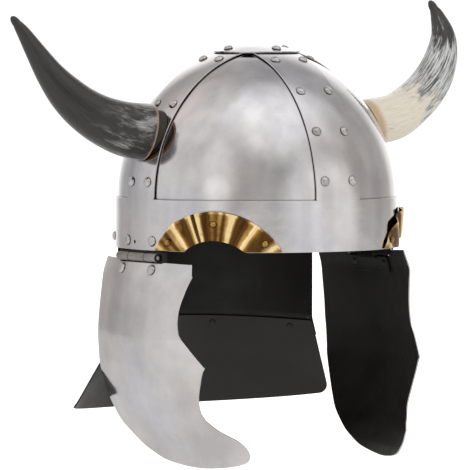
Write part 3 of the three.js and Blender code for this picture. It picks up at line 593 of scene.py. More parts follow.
def patch(name, loops, place, thickness, spacing, materials, bevel=CUT_EDGE, joined=None,
          rim=0):
    """A closed sheet over a flat outline: loops[0] runs anticlockwise and holes clockwise.

    place(u, v) gives the outer face's point. Edges are rounded by bevel, a size or a function,
    and have the material numbered rim. An edge for which joined is true gets no rim.
    """
    joined = joined or (lambda here, after: False)
    size_at = bevel if callable(bevel) else (lambda u, v: bevel)
    points, normals, flat, known = [], [], [], {}

    def vertex(spot, depth, slope, aside=None):
        u, v = spot
        wide = place(u + NEAR, v) - place(u - NEAR, v)
        high = place(u, v + NEAR) - place(u, v - NEAR)
        lean = wide.cross(high).normalized()
        point = place(u, v) - lean * depth
        direction = lean * math.cos(slope)
        if aside is not None and aside.length > 0:
            side = place(u + aside.x * NEAR, v + aside.y * NEAR) - place(u, v)
            direction += side.normalized() * math.sin(slope)
        key = tuple(round(x, 3) for x in point)
        if key not in known:
            known[key] = len(points)
            points.append(point)
            normals.append(direction.normalized())
            flat.append((u, v, depth))
        return known[key]

    turned_out = [loop_normals(loop, joined) for loop in loops]
    insets, edges = [], []
    for loop, (out, _) in zip(loops, turned_out):
        start, count = sum(len(inset) for inset in insets), len(loop)
        insets.append([p - n * size_at(p.x, p.y) for p, n in zip(loop, out)])
        edges += [(start + k, start + (k + 1) % count) for k in range(count)]
    seeds = [p for inset in insets for p in inset]
    low = Vector((min(p.x for p in insets[0]), min(p.y for p in insets[0])))
    high = Vector((max(p.x for p in insets[0]), max(p.y for p in insets[0])))
    rows = max(2, round((high.y - low.y) / (0.87 * spacing)))
    columns = max(2, round((high.x - low.x) / spacing))
    for j in range(1, rows):
        for i in range(columns):
            shift = 0.5 if j % 2 else 0.0
            spot = Vector((low.x + (i + shift) * (high.x - low.x) / columns,
                           low.y + j * (high.y - low.y) / rows))
            if on_sheet(spot, insets) and all(clear_of(spot, loop, 0.55 * spacing) for loop in insets):
                seeds.append(spot)
    made = delaunay_2d_cdt([tuple(p) for p in seeds], edges, [], 0, 1e-5)
    spots = [Vector(p) for p in made[0]]
    faces, owners = [], []

    def face(corners, owner):
        kept = [c for k, c in enumerate(corners) if c != corners[k - 1]]
        if len(set(kept)) > 2:
            faces.append(tuple(kept))
            owners.append(owner)

    top = [vertex(p, 0, 0) for p in spots]
    bottom = [vertex(p, thickness, math.pi) for p in spots]
    for a, b, c in made[2]:
        turn = (spots[b] - spots[a]).cross(spots[c] - spots[a])
        if abs(turn) < 1e-3 * spacing or not on_sheet((spots[a] + spots[b] + spots[c]) / 3, insets):
            continue
        if turn < 0:
            b, c = c, b
        face((top[a], top[b], top[c]), 0)
        face((bottom[c], bottom[b], bottom[a]), 1)
    for loop, (out, free) in zip(loops, turned_out):
        rings = []
        for under, angle in [(False, a) for a in ARC] + [(True, a) for a in reversed(ARC)]:
            turn = rad(angle)
            ring = []
            for p, n in zip(loop, out):
                size = size_at(p.x, p.y)
                depth = min(size, 0.49 * thickness) * (1 - math.cos(turn))
                spot = p - n * size * (1 - math.sin(turn))
                if under:
                    ring.append(vertex(spot, thickness - depth, math.pi - turn, n))
                else:
                    ring.append(vertex(spot, depth, turn, n))
            rings.append(ring)
        for upper, lower in zip(rings, rings[1:]):
            for k, is_free in enumerate(free):
                if is_free:
                    after = (k + 1) % len(loop)
                    face((upper[k], lower[k], lower[after], upper[after]), rim)
    return make_mesh(name, points, faces, normals, owners, materials, flat)


def steel_sheet(node, loops, place, spacing, bevel=CUT_EDGE, inner=PAINT, name=None, **others):
    """A patch of the helmet's steel, painted inside, that takes the place of a solid."""
    piece = patch(name or node + "_sheet", loops, place, SHEET, spacing, [STEEL, inner], bevel,
                  **others)
    seated(piece, "helmet", "steel", node)


def mirror_copy(piece, name):
    """The same piece on the other side of the plane x = 0."""
    source = piece.data
    points = [Vector((-v.co.x, v.co.y, v.co.z)) / MM for v in source.vertices]
    faces = [tuple(reversed(p.vertices)) for p in source.polygons]
    owners = [p.material_index for p in source.polygons]
    normals = [Vector((0.0, 0.0, 1.0))] * len(points)
    for loop in source.loops:
        n = source.corner_normals[loop.index].vector
        normals[loop.vertex_index] = Vector((-n.x, n.y, n.z))
    flat = [tuple(item.vector) for item in source.attributes["flat"].data]
    return make_mesh(name, points, faces, normals, owners, list(source.materials), flat)


def on_its_side(worked, side, name):
    """A piece worked on the left side, or its mirror image in its place on the right."""
    piece = worked
    if side == "right":
        piece = mirror_copy(worked, name + "_mirrored")
        bpy.data.objects.remove(worked)
    piece.name = f"{name}_{side}"
    return piece


def turned(name, profile, matrix, materials, sides=24, owner=None, uneven=0.0, seed=0.0):
    """A profile of (radius, height) points turned round Z, then placed by matrix."""
    points, faces, owners, flat, starts = [], [], [], [], []
    for radius, height in profile:
        starts.append(len(points))
        for cosine, sine in circle(1 if radius < 1e-6 else sides):
            point = Vector((radius * cosine, radius * sine, height))
            if uneven and radius > 0:
                push = uneven * noise.noise(point / 2.4 + Vector((seed, 1.3 * seed, 0.7)))
                point += Vector((point.x, point.y, max(height, 0))).normalized() * push
            points.append(point)
            flat.append((point.x, point.y, height))
    starts.append(len(points))
    for k in range(len(profile) - 1):
        upper, lower = starts[k], starts[k + 1]
        one, two = lower - upper == 1, starts[k + 2] - lower == 1
        for i in range(sides):
            after = (i + 1) % sides
            if one:
                faces.append((upper, lower + i, lower + after))
            elif two:
                faces.append((upper + after, upper + i, lower))
            else:
                faces.append((upper + after, upper + i, lower + i, lower + after))
            owners.append(owner(k) if owner else 0)
    points = [matrix @ point for point in points]
    piece = make_mesh(name, points, faces, None, owners, materials, flat)
    piece.data.set_sharp_from_angle(angle=rad(50))
    return piece


def frame_at(point, normal, spin=0.0):
    """Matrix that stands +Z along normal at point, in millimetres."""
    turn = normal.to_track_quat("Z", "Y").to_matrix().to_4x4()
    return Matrix.Translation(point) @ turn @ Matrix.Rotation(spin, 4, "Z")


def bevelled_box(name, low, high, size, materials):
    """A box with rounded edges, as one outline raised along Y."""
    low, high = Vector(low), Vector(high)
    centre, half = (low + high) / 2, (high - low) / 2
    loop = []
    for sx, sz, start in ((1, -1, -90), (1, 1, 0), (-1, 1, 90), (-1, -1, 180)):
        for step in range(4):
            turn = rad(start + 30 * step)
            loop.append(Vector((sx * (half.x - size) + size * math.cos(turn),
                                sz * (half.z - size) + size * math.sin(turn))))
    return patch(name, [loop], lambda u, v: Vector((centre.x + u, low.y, centre.z + v)),
                 high.y - low.y, 6, materials, size)


def rivet(name, point, normal, body, grip, slot="rivet", head=HEAD, rise=HEAD_RISE,
          materials=None, blunt=HEAD_POWER, seed=1.0, replaced=()):
    """A domed head on the sheet, a shank through it and a peened tail on the inner side."""
    profile = [(0, rise)]
    for share in DOME_SHARES:
        profile.append((head * share, rise * (1 - share ** blunt) ** 0.55))
    profile += [(head, 0.12 * rise), (head * 0.97, 0), (SHANK, 0), (SHANK, -grip)]
    inner = len(profile) - 1
    profile += [(TAIL, -grip), (TAIL * 0.86, -grip - 0.55 * TAIL_RISE),
                (TAIL * 0.5, -grip - 0.92 * TAIL_RISE), (0, -grip - TAIL_RISE)]
    materials = materials or [RIVET_STEEL, PAINT]
    matrix = frame_at(point, normal, seed * 2.1)
    piece = turned(name, profile, matrix, materials, 22, lambda k: int(k >= inner),
                   RIVET_UNEVEN, seed)
    seated(piece, body, slot, *replaced)


# Places on the helmet


def at_turn(turn, radius, up):
    """The point at a turn in degrees from the front towards the wearer's left."""
    angle = rad(turn)
    return Vector((math.sin(angle) * radius, -math.cos(angle) * radius, up))


def outward(point):
    return Vector((point.x, point.y, 0)).normalized()


def band_place(u, v):
    point = at_turn(math.degrees(u / BAND_RADIUS), BAND_RADIUS, v)
    return point + outward(point) * wobble(point, "skull")


def dome_radius(up):
    share = (up - BAND_HEIGHT) / DOME_RISE
    return BAND_RADIUS * math.sqrt(max(0.0, 1 - share * share))


def dome_point(azimuth, lift, inset=0.0):
    """azimuth in radians from the front to the wearer's left, lift in radians from the band."""
    radius = (BAND_RADIUS - inset) * math.cos(lift)
    up = BAND_HEIGHT + (DOME_RISE - inset) * math.sin(lift)
    return Vector((math.sin(azimuth) * radius, -math.cos(azimuth) * radius, up))


def dome_normal(point):
    return Vector((
        point.x / BAND_RADIUS ** 2, point.y / BAND_RADIUS ** 2,
        (point.z - BAND_HEIGHT) / DOME_RISE ** 2,
    )).normalized()


def on_rib(turn, aside, rise):
    up = BAND_HEIGHT + rise * DOME_RISE
    radius = dome_radius(up)
    point = at_turn(turn + math.degrees(math.asin(aside / radius)), radius, up)
    return point, dome_normal(point)


def rib_width(up_angle, half):
    """Half width as an angle, closed by the mitres under the crown plate."""
    radius = BAND_RADIUS * math.cos(up_angle)
    mitre = rad(45) - 0.5 * SEAM / radius
    return min(math.asin(min(1, half / radius)), mitre)


def make_rib(name):
    half, turn = RIB_HALF[name], rad(RIB_TURN[name])
    length = math.acos(TOP_HOLE / BAND_RADIUS) * BAND_RADIUS
    steps = 84
    edges = {1: [], -1: []}
    for k in range(steps + 1):
        v = length * k / steps
        for hand, seed in ((1, 3.1), (-1, 8.4)):
            cut = 0.14 * noise.noise(Vector((v / 14, turn, seed)))
            width = rib_width(v / BAND_RADIUS, half + cut)
            edges[hand].append(Vector((hand * BAND_RADIUS * width, v)))

    def place(u, v):
        point = dome_point(turn + u / BAND_RADIUS, v / BAND_RADIUS)
        return point + dome_normal(point) * wobble(point, "skull")

    def bevel(u, v):
        return WORN_EDGE if v > 0.5 else SHUT_EDGE

    steel_sheet("rib_" + name, [two_sided(edges[1], edges[-1], 2.4, 6)], place, 3.4, bevel)


def make_panel(name, middle):
    inset = SHEET + SEAM
    radius = BAND_RADIUS - inset
    top = math.acos(TOP_HOLE / radius)
    turn = rad(middle)
    steps = 60
    right, left = [], []
    for k in range(-4, steps + 1):
        v = top * radius * k / steps if k >= 0 else PANEL_SKIRT * k / 4
        here = radius * math.cos(max(v, 0) / radius)
        width = rad(45) - math.asin(PANEL_GAP / here)
        right.append(Vector((radius * width, v)))
        left.append(Vector((-radius * width, v)))

    def place(u, v):
        if v < 0:
            point = at_turn(math.degrees(turn + u / radius), radius, BAND_HEIGHT + v)
        else:
            point = dome_point(turn + u / radius, v / radius, inset)
        lean = dome_normal(point) if v > 0 else outward(point)
        return point + lean * (wobble(point, "panel") - 0.1)

    steel_sheet("panel_" + name, [two_sided(right, left, 4, 8)], place, 4.2)


def crown_under(radius):
    return BAND_HEIGHT + DOME_RISE + SEAM - CROWN_DISH * (radius / CROWN_RADIUS) ** 2


def make_crown():
    loop = []
    for here in map(Vector, circle(96)):
        cut = 0.3 * noise.noise(Vector((3 * here.x, 3 * here.y, 5.0)))
        loop.append(here * (CROWN_RADIUS - 0.3 + cut))

    def place(u, v):
        radius = math.hypot(u, v)
        rim = max(0.0, radius - 0.55 * CROWN_RADIUS) / (0.45 * CROWN_RADIUS)
        point = Vector((u, v, crown_under(radius) + SHEET))
        point.z += rim * wobble(point, "crown_rim") + wobble(point, "crown")
        return point

    steel_sheet("crown_plate", [loop], place, 2.6, TRIMMED_EDGE)
    for k, name in enumerate(("front", "left", "rear", "right")):
        slope = 2 * CROWN_DISH * CROWN_RIVET_RADIUS / CROWN_RADIUS ** 2
        point = at_turn(90 * k, CROWN_RIVET_RADIUS, crown_under(CROWN_RIVET_RADIUS) + SHEET)
        normal = at_turn(90 * k, slope, 1).normalized()
        rivet("crown_rivet_head_" + name, point, normal, "helmet", CROWN_RIVET_GRIP, seed=31 + k,
              replaced=["crown_rivet_" + name])


def eye_height(u):
    """Height of the eye cut-outs above the band's lower rim, at u round the band."""
    radius = CRESCENT_INNER - EYE_MARGIN
    middle = rad(CRESCENT_TURNS["left" if u > 0 else "right"]) * BAND_RADIUS
    aside = abs(abs(u) - middle)
    if aside >= radius:
        return 0.0
    return max(0.0, CRESCENT_CENTRE + math.sqrt(radius ** 2 - aside ** 2))


def make_band():
    half = math.pi * BAND_RADIUS
    left_eye = rad(CRESCENT_TURNS["left"]) * BAND_RADIUS
    right_eye = -rad(CRESCENT_TURNS["right"]) * BAND_RADIUS
    reach = math.sqrt((CRESCENT_INNER - EYE_MARGIN) ** 2 - CRESCENT_CENTRE ** 2)
    loop = outline((-half, 0, 2.6), (right_eye - reach, 0, 1.2), (right_eye + reach, 0, 2.6),
                   (left_eye - reach, 0, 1.2), (left_eye + reach, 0, 2.6), (half, 0, 3),
                   (half, BAND_HEIGHT, 2.2), (-half, BAND_HEIGHT, 3))
    for spot in loop:
        if spot.y == 0:
            spot.y = eye_height(spot.x)
    centre = Vector((rad(SPARE_HOLE["turn"]) * BAND_RADIUS, SPARE_HOLE["up"]))
    hole = [centre + SPARE_HOLE["radius"] * Vector(pair) for pair in circle(12, -1)]

    def bevel(u, v):
        if v < BAND_HEIGHT - 0.5:
            return BAND_EDGE
        turn = math.degrees(u / BAND_RADIUS)
        for name, half_width in RIB_HALF.items():
            off = (turn - RIB_TURN[name] + 180) % 360 - 180
            if abs(math.sin(rad(off))) * BAND_RADIUS < half_width - 0.4 and abs(off) < 90:
                return SHUT_EDGE
        return WORN_EDGE

    def joined(here, after):
        return abs(abs(here.x) - half) < 1e-6 and abs(here.x - after.x) < 1e-6

    steel_sheet("brow_band", [loop, hole], band_place, 3.0, bevel, joined=joined)


def make_rib_rivets():
    for name, turn in RIB_TURN.items():
        rows = END_RIB_ROWS if name in ("front", "rear") else SIDE_RIB_ROWS
        count = 0
        for row in rows:
            for hand in (-1, 1):
                count += 1
                point, normal = on_rib(turn, hand * RIB_RIVET_ASIDE[name], row)
                node = f"rib_rivet_{name}_{count}"
                rivet(f"rivet_head_{name}_{count}", point, normal, "helmet", 2 * SHEET + SEAM,
                      seed=turn / 10 + count, replaced=[node])


# Brass crescents


def flute_height(fan, share):
    """Height of the beaten ridges; share runs from the inner edge to the outer one."""
    height = 0.0
    bent = fan + 1.6 * noise.noise(Vector((fan / 30, share, 0.4)))
    for row in CRESCENT_RIDGES:
        away = (bent - row["fan"]) / (row["up"] if bent < row["fan"] else row["down"])
        if abs(away) < 1:
            height = max(height, row["high"] * (1 - abs(away) ** 1.35) ** 1.15)
    fade = min(1.0, max(0.0, (CRESCENT_END - abs(fan)) / FLUTE_FADE))
    depth = FLUTE_INNER + share * (FLUTE_OUTER - FLUTE_INNER)
    ripple = 0.16 * noise.noise(Vector((fan / 5, 2.2 * share, 3.4)))
    return CRESCENT_LIFT + fade * (height * depth + ripple * share)


def crescent_wear_and_sheen(fan, share):
    """How bright the brass is: rubbed full on the ridges' crests and none in the folds, with a painted
    highlight on the flank of each ridge that leans one way, and lighter towards the feet and the outer
    rim.
    """
    here = flute_height(fan, 1.0)
    around = (flute_height(fan - 3, 1.0) + flute_height(fan + 3, 1.0)) / 2
    # tilt paints a highlight on one flank of each ridge and shade on the other
    tilt = flute_height(fan - 1, 1.0) - flute_height(fan + 1, 1.0)
    feet = max(0.0, (abs(fan) - 50) / 12)
    rim = 0.25 if share > 0.94 else 0.0
    return min(1.0, max(-0.2, 0.1 + 0.7 * (here - around) + 0.16 * tilt + 0.3 * feet + rim))


def crescent_inner(fan):
    return max(CRESCENT_INNER, (CRESCENT_FOOT - CRESCENT_CENTRE) / math.cos(rad(fan)))


def crescent_place(fan, radius, centre_turn):
    along = radius * math.sin(rad(fan))
    up = CRESCENT_CENTRE + radius * math.cos(rad(fan))
    inner = crescent_inner(max(-CRESCENT_END, min(CRESCENT_END, fan)))
    share = (radius - inner) / max(CRESCENT_OUTER - inner, 1)
    height = flute_height(fan, max(0.0, min(1.0, share))) + CRESCENT_SHEET
    turn = centre_turn + math.degrees(along / BAND_RADIUS)
    return at_turn(turn, BAND_RADIUS + height, up)


def make_crescents():
    mean = (CRESCENT_INNER + CRESCENT_OUTER) / 2
    scale = math.degrees(1 / mean)
    fans = [CRESCENT_END * (2 * k / 120 - 1) for k in range(121)]
    outer = [Vector((f / scale, CRESCENT_OUTER)) for f in reversed(fans)]
    inner = [Vector((f / scale, crescent_inner(f))) for f in fans]
    for side, middle in CRESCENT_TURNS.items():
        piece = patch("crescent_" + side, [inner + outer],
                      lambda u, v: crescent_place(u * scale, v, middle), CRESCENT_SHEET, 1.15,
                      [BRASS, BRASS], BRASS_EDGE)
        piece = on_its_side(piece, side, "crescent")
        # The third part of flat becomes the rubbed wear and the painted highlight on the ridges' flanks
        for item in piece.data.attributes["flat"].data:
            u, v, depth = item.vector
            low = crescent_inner(u * scale)
            share = (v - low) / (CRESCENT_OUTER - low)
            item.vector = (u, v, crescent_wear_and_sheen(u * scale, share))
        seated(piece, "helmet", "brass", "brow_crescent_" + side)
        flip = Vector((1 if side == "left" else -1, 1, 1))
        for k, row in enumerate(CRESCENT_RIVETS):
            low = crescent_inner(row["fan"])
            radius = low + row["share"] * (CRESCENT_OUTER - low)
            point = crescent_place(row["fan"], radius, middle)
            out = outward(point)
            grip = math.hypot(point.x, point.y) - BAND_RADIUS + SHEET
            rivet(f"crescent_rivet_{side}_{k + 1}", (point - 0.1 * out) * flip, out * flip,
                  "helmet", grip, "brass", BRASS_HEAD, BRASS_HEAD_RISE, [RIVET_BRASS, PAINT],
                  seed=50 + k)


# Neck guard


def fold_height(turn):
    return NAPE_FOLD - NAPE_FOLD_DROP * abs(turn / NAPE_SPAN) ** 1.3


def inside_radius():
    return BAND_RADIUS - SHEET - 2 * SEAM


def flare_point(turn, down, inset=0.0):
    sine, cosine = math.sin(rad(FLARE_ANGLE)), math.cos(rad(FLARE_ANGLE))
    radius = inside_radius() + down * sine - inset * cosine
    return at_turn(180 + turn, radius, fold_height(turn) - down * cosine - inset * sine)


def nape_place(u, v):
    """v is measured up the sheet from its fold, so below zero it is on the flange."""
    turn = math.degrees(u / BAND_RADIUS)
    radius, up = inside_radius(), fold_height(turn)
    angle = rad(FLARE_ANGLE)
    down = -v
    if down <= -NAPE_BEND:
        up += v
    else:
        bent = min(1.0, (down + NAPE_BEND) / (2 * NAPE_BEND)) * angle
        along = 2 * NAPE_BEND / angle
        radius += along * (1 - math.cos(bent))
        up += NAPE_BEND - along * math.sin(bent)
        rest = max(0.0, down - NAPE_BEND)
        radius += rest * math.sin(angle)
        up -= rest * math.cos(angle)
    point = at_turn(180 + turn, radius, up)
    return point + outward(point) * wobble(point, "nape")


def flare_length(turn):
    share = abs(turn) / NAPE_SPAN
    bottom = FLARE_BOTTOM + FLARE_END_RISE * share ** 2.4
    length = (fold_height(turn) - bottom) / math.cos(rad(FLARE_ANGLE))
    edge_radius = BAND_RADIUS + length * math.sin(rad(FLARE_ANGLE))
    from_end = rad(NAPE_SPAN - abs(turn)) * edge_radius
    if from_end >= FLARE_CORNER:
        return length
    return length - FLARE_CORNER + math.sqrt(max(
        0.0, FLARE_CORNER ** 2 - (FLARE_CORNER - from_end) ** 2))


def flare_place(u, v):
    turn = math.degrees(u / BAND_RADIUS)
    point = flare_point(turn, -v, SHEET + SEAM)
    return point + outward(point) * wobble(point, "flare")


def make_nape():
    half = rad(NAPE_SPAN) * BAND_RADIUS
    turns = [NAPE_SPAN * (2 * k / 60 - 1) for k in range(61)]
    lower = straight((-half, -NAPE_FLANGE), (half, -NAPE_FLANGE), 3)
    top = [Vector((rad(t) * BAND_RADIUS, NAPE_TOP - fold_height(t))) for t in turns]
    right = straight((half, -NAPE_FLANGE), top[-1], 2.5)
    left = straight(top[0], (-half, -NAPE_FLANGE), 2.5)
    steel_sheet("nape_plate", [lower + right + top[:0:-1] + left], nape_place, 3.6,
                name="nape_sheet", rim=1)

    ends = [NAPE_SPAN * (1 - 0.085 * (1 - k / 14) ** 2) for k in range(15)]
    inner = [NAPE_SPAN * 0.9 * (2 * k / 44 - 1) for k in range(45)]
    turns = [-t for t in reversed(ends)] + inner + ends
    lower = [Vector((rad(t) * BAND_RADIUS, -flare_length(t))) for t in turns]
    right = straight(lower[-1], (half, -FLARE_START), 2.6)[1:]
    upper = straight((half, -FLARE_START), (-half, -FLARE_START), 3)
    left = straight((-half, -FLARE_START), lower[0], 2.6)
    # The flare's inner face takes the lighter paint copy, painted lighter for the light it catches
    steel_sheet("nape_flare", [lower + right + upper + left], flare_place, 4.0,
                inner=LIT_FLARE_PAINT, name="flare_sheet", rim=1)

    for k, turn in enumerate(NAPE_RIVET_TURNS):
        point = at_turn(180 + turn, BAND_RADIUS, NAPE_RIVET_UP)
        normal = at_turn(180 + turn, 1, 0)
        rivet(f"nape_rivet_{k + 1}", point, normal, "helmet", 2 * SHEET + 2 * SEAM, seed=60 + k)
    angle = rad(FLARE_ANGLE)
    for k, turn in enumerate(FLARE_RIVET_TURNS):
        normal = at_turn(180 + turn, math.cos(angle), math.sin(angle))
        point = flare_point(turn, FLARE_RIVET_DOWN)
        rivet(f"flare_rivet_{k + 1}", point, normal, "helmet", 2 * SHEET + SEAM, seed=70 + k)


# Cheek flaps and hinges, made for the wearer's left and mirrored


def flap_out(up):
    """Bulge share at a height, by a smooth curve through the rows."""
    drop = (FLAP_TOP - up) / FLAP_DROP
    rows = FLAP_ROWS
    k = 0
    while k < len(rows) - 2 and rows[k + 1]["drop"] < drop:
        k += 1
    before, after = rows[max(k - 1, 0)], rows[min(k + 2, len(rows) - 1)]
    a, b = rows[k], rows[k + 1]
    wide = b["drop"] - a["drop"]
    t = (drop - a["drop"]) / wide
    rise_a = wide * (b["out"] - before["out"]) / (b["drop"] - before["drop"])
    rise_b = wide * (after["out"] - a["out"]) / (after["drop"] - a["drop"])
    if t < 0:
        return a["out"] + rise_a * t
    if t > 1:
        return b["out"] + rise_b * (t - 1)
    square, cube = t * t, t * t * t
    return ((2 * cube - 3 * square + 1) * a["out"] + (cube - 2 * square + t) * rise_a
            + (3 * square - 2 * cube) * b["out"] + (cube - square) * rise_b)


def flap_place(u, v):
    out = BAND_RADIUS + FLAP_BULGE * flap_out(v) - u * u / (2 * FLAP_PLAN_RADIUS)
    point = Vector((out, u, v))
    point.x += wobble(point, "flap")
    return point


def flap_frame(u, v):
    wide = flap_place(u + 1, v) - flap_place(u - 1, v)
    high = flap_place(u, v + 1) - flap_place(u, v - 1)
    return flap_place(u, v), wide.cross(high).normalized()


def flap_outline(side):
    front, back = ([Vector((FLAP_HALF * row[edge], FLAP_TOP - FLAP_DROP * row["drop"]))
                    for row in FLAP_ROWS] for edge in ("front", "back"))
    top, notch, point = FLAP_CORNER_ROWS
    front[0].y += FLAP_TOP_RISE[side]["front"]
    back[0].y += FLAP_TOP_RISE[side]["back"]
    loop = straight(front[top], front[notch], 2)
    loop += curve_through(front[notch:point + 1], 2)
    loop += curve_through(front[point:] + back[:0:-1], 2)
    loop += straight(back[1], back[0], 2)
    # The top edge steps down round the hinge's barrel and pin
    reach = BARREL_HALF + PIN_OVERHANG + 2 * SEAM
    slope = (back[0].y - front[0].y) / (back[0].x - front[0].x)
    step_back = Vector((reach, front[0].y + slope * (reach - front[0].x)))
    step_front = Vector((-reach, front[0].y + slope * (-reach - front[0].x)))
    corners = [back[0], step_back, (reach, FLAP_TOP), (-reach, FLAP_TOP), step_front, front[0]]
    for start, end in zip(corners, corners[1:]):
        loop += straight(start, end, 2.4)
    return loop


def sided(piece, name, body, *replaced):
    """Seats a left-hand piece of a hinge and its mirrored copy."""
    for side, made in (("left", piece), ("right", mirror_copy(piece, name + "_right"))):
        seated(made, "flap_" + side if body == "flap" else body, "hinge",
               *[f"{node}_{side}" for node in replaced])


def knuckle(name, start, end):
    reach, radius, edge = end - start, BARREL_RADIUS, KNUCKLE_EDGE
    profile = [(0, reach), (radius - edge, reach), (radius - 0.1, reach - 0.15),
               (radius, reach - edge), (radius, edge), (radius - 0.1, 0.15), (radius - edge, 0), (0, 0)]
    piece = turned(name, profile, hinge_axis(start), [HINGE_STEEL, PAINT], 24)
    for polygon in piece.data.polygons:
        polygon.material_index = int(polygon.normal.x < 0.3)
    return piece


def hinge_axis(start):
    return frame_at(Vector((BAND_RADIUS, start, -HINGE_DROP)), Vector((0, 1, 0)))


def make_hinges():
    radius, half, top = inside_radius(), LEAF_HALF, BAND_LEAF_TOP
    low = -HINGE_DROP + BARREL_RADIUS - SEAM
    side, cut = top - LEAF_CORNER, half - LEAF_CORNER
    loop = outline((-half, low, 3), (half, low, 3), (half, side, 1.5), (cut, top, 3),
                   (-cut, top, 1.5), (-half, side, 3))
    piece = patch("band_leaf_left", [loop],
                  lambda u, v: at_turn(90 + math.degrees(u / radius), radius, v), SHEET, 4,
                  [PAINT, PAINT], HINGE_BEVEL)
    sided(piece, "band_leaf", "helmet", "hinge_band_leaf")

    web_in = math.sqrt((radius - SHEET) ** 2 - BARREL_HALF ** 2)
    for hand in (-1, 1):
        tag = "front" if hand < 0 else "rear"
        start = -BARREL_HALF if hand < 0 else MIDDLE_HALF + SEAM
        end = -MIDDLE_HALF - SEAM if hand < 0 else BARREL_HALF
        sided(knuckle(f"knuckle_{tag}_left", start, end), f"knuckle_{tag}", "helmet")
        low_end = start - WEB_REACH if hand < 0 else start
        high_end = end + WEB_REACH if hand > 0 else end
        piece = bevelled_box(f"web_{tag}_left", (web_in, low_end, -HINGE_DROP - WEB_DROP),
                             (BAND_RADIUS - WEB_INSET, high_end, low + 1.2), HINGE_BEVEL,
                             [PAINT, PAINT])
        sided(piece, f"web_{tag}", "helmet")
    reach = BARREL_HALF + PIN_OVERHANG
    profile = [(0, 2 * reach), (0.8, 2 * reach - 0.1), (PIN_RADIUS, 2 * reach - 0.5),
               (PIN_RADIUS, 0.5), (0.8, 0.1), (0, 0)]
    piece = turned("pin_left", profile, hinge_axis(-reach), [HINGE_STEEL], 16)
    sided(piece, "pin", "helmet", "hinge_pin")

    sided(knuckle("knuckle_middle_left", -MIDDLE_HALF, MIDDLE_HALF), "knuckle_middle", "flap")
    top = FLAP_TOP - 2 * SEAM

    def flap_leaf_place(u, v):
        point, lean = flap_frame(u, v)
        return point - lean * (SHEET + SEAM)

    loop = outline((-half, FLAP_LEAF_BOTTOM, 3), (half, FLAP_LEAF_BOTTOM, 3), (half, top, 3),
                   (-half, top, 3))
    piece = patch("flap_leaf_left", [loop], flap_leaf_place, SHEET, 4, [PAINT, PAINT], HINGE_BEVEL)
    sided(piece, "flap_leaf", "flap", "hinge_flap_leaf")
    inner = flap_place(MIDDLE_HALF, top).x - 2 * SHEET - SEAM
    piece = bevelled_box("flap_web_left", (inner - 2 * SHEET, -MIDDLE_HALF, top - 2 * SHEET),
                         (inner + SHEET / 2, MIDDLE_HALF, -HINGE_DROP), HINGE_BEVEL, [PAINT, PAINT])
    sided(piece, "flap_web", "flap")

    for hand in (-1, 1):
        tag = "front" if hand < 0 else "rear"
        turn = 90 + hand * math.degrees(math.asin(BAND_LEAF_RIVET["along"] / BAND_RADIUS))
        point = at_turn(turn, BAND_RADIUS, BAND_LEAF_RIVET["up"])
        spot, lean = flap_frame(hand * FLAP_LEAF_RIVET["along"], FLAP_LEAF_RIVET["up"])
        for side, sign in (("left", 1), ("right", -1)):
            flip = Vector((sign, 1, 1))
            rivet(f"band_leaf_rivet_{tag}_{side}", point * flip, at_turn(turn, 1, 0) * flip,
                  "helmet", 2 * SHEET + 2 * SEAM, "hinge", BAND_LEAF_RIVET["head"],
                  BAND_LEAF_RIVET["rise"], blunt=HINGE_HEAD_POWER, seed=80 + 3 * hand + sign)
            rivet(f"flap_leaf_rivet_{tag}_{side}", spot * flip, lean * flip, "flap_" + side,
                  2 * SHEET + SEAM, "hinge", FLAP_LEAF_RIVET["head"], FLAP_LEAF_RIVET["rise"],
                  blunt=HINGE_HEAD_POWER, seed=90 + 3 * hand + sign)


def make_flaps():
    for side in ("left", "right"):
        piece = patch("cheek_worked_" + side, [flap_outline(side)], flap_place, SHEET, 3.6,
                      [STEEL, PAINT], TRIMMED_EDGE)
        piece = on_its_side(piece, side, "cheek")
        seated(piece, "flap_" + side, "steel", "cheek_flap_" + side)


# Horns


def horn_base(horn):
    up = BAND_HEIGHT + horn["rise"] * DOME_RISE
    return at_turn(horn["turn"], dome_radius(up) + horn["stand_off"], up)


def spline(a, b, c, d, t):
    """Catmull-Rom from b to c, for points or for numbers."""
    return 0.5 * ((2 * b) + (c - a) * t + (2 * a - 5 * b + 4 * c - d) * t * t
                  + (3 * b - a - 3 * c + d) * t ** 3)


def horn_curve(horn):
    """Centres and radii along a horn, from its cut rim to its tip, and its direction at the rim."""
    base, span = horn_base(horn), Vector(horn["span"])
    centres = [base + Vector((span.x * row["out"], span.y * row["back"], span.z * row["up"]))
               for row in horn["rows"]]
    radii = [horn["radius"] * row["thick"] for row in horn["rows"]]
    away = (centres[1] - centres[0]).normalized()
    knots = [centres[0] - away * HORN_ROOT, *centres, 2 * centres[-1] - centres[-2]]
    sizes = [horn["radius"] * 1.01, *radii, radii[-1]]
    made = []
    for k in range(1, len(centres)):
        last = k == len(centres) - 1
        steps = 16 if last else 10
        for i in range(steps):
            t = 1 - (1 - i / steps) ** 1.6 if last else i / steps
            point, size = spline(*knots[k - 1:k + 3], t), spline(*sizes[k - 1:k + 3], t)
            if last:
                size = sizes[k] * math.sqrt(max(0.0, 1 - t ** 2.1))
            made.append((point, size))
    made.append((centres[-1], 0.0))
    return made, away


def rim_plane(horn):
    """Outward normal of the plane in which a horn's base is cut."""
    hand = 1 if horn["span"][0] > 0 else -1
    tilt, yaw = rad(horn["tilt"]), rad(horn["yaw"])
    lean = Vector((math.cos(tilt), 0, math.sin(tilt)))
    lean = Matrix.Rotation(-yaw, 3, "Z") @ lean
    return Vector((hand * lean.x, lean.y, lean.z))


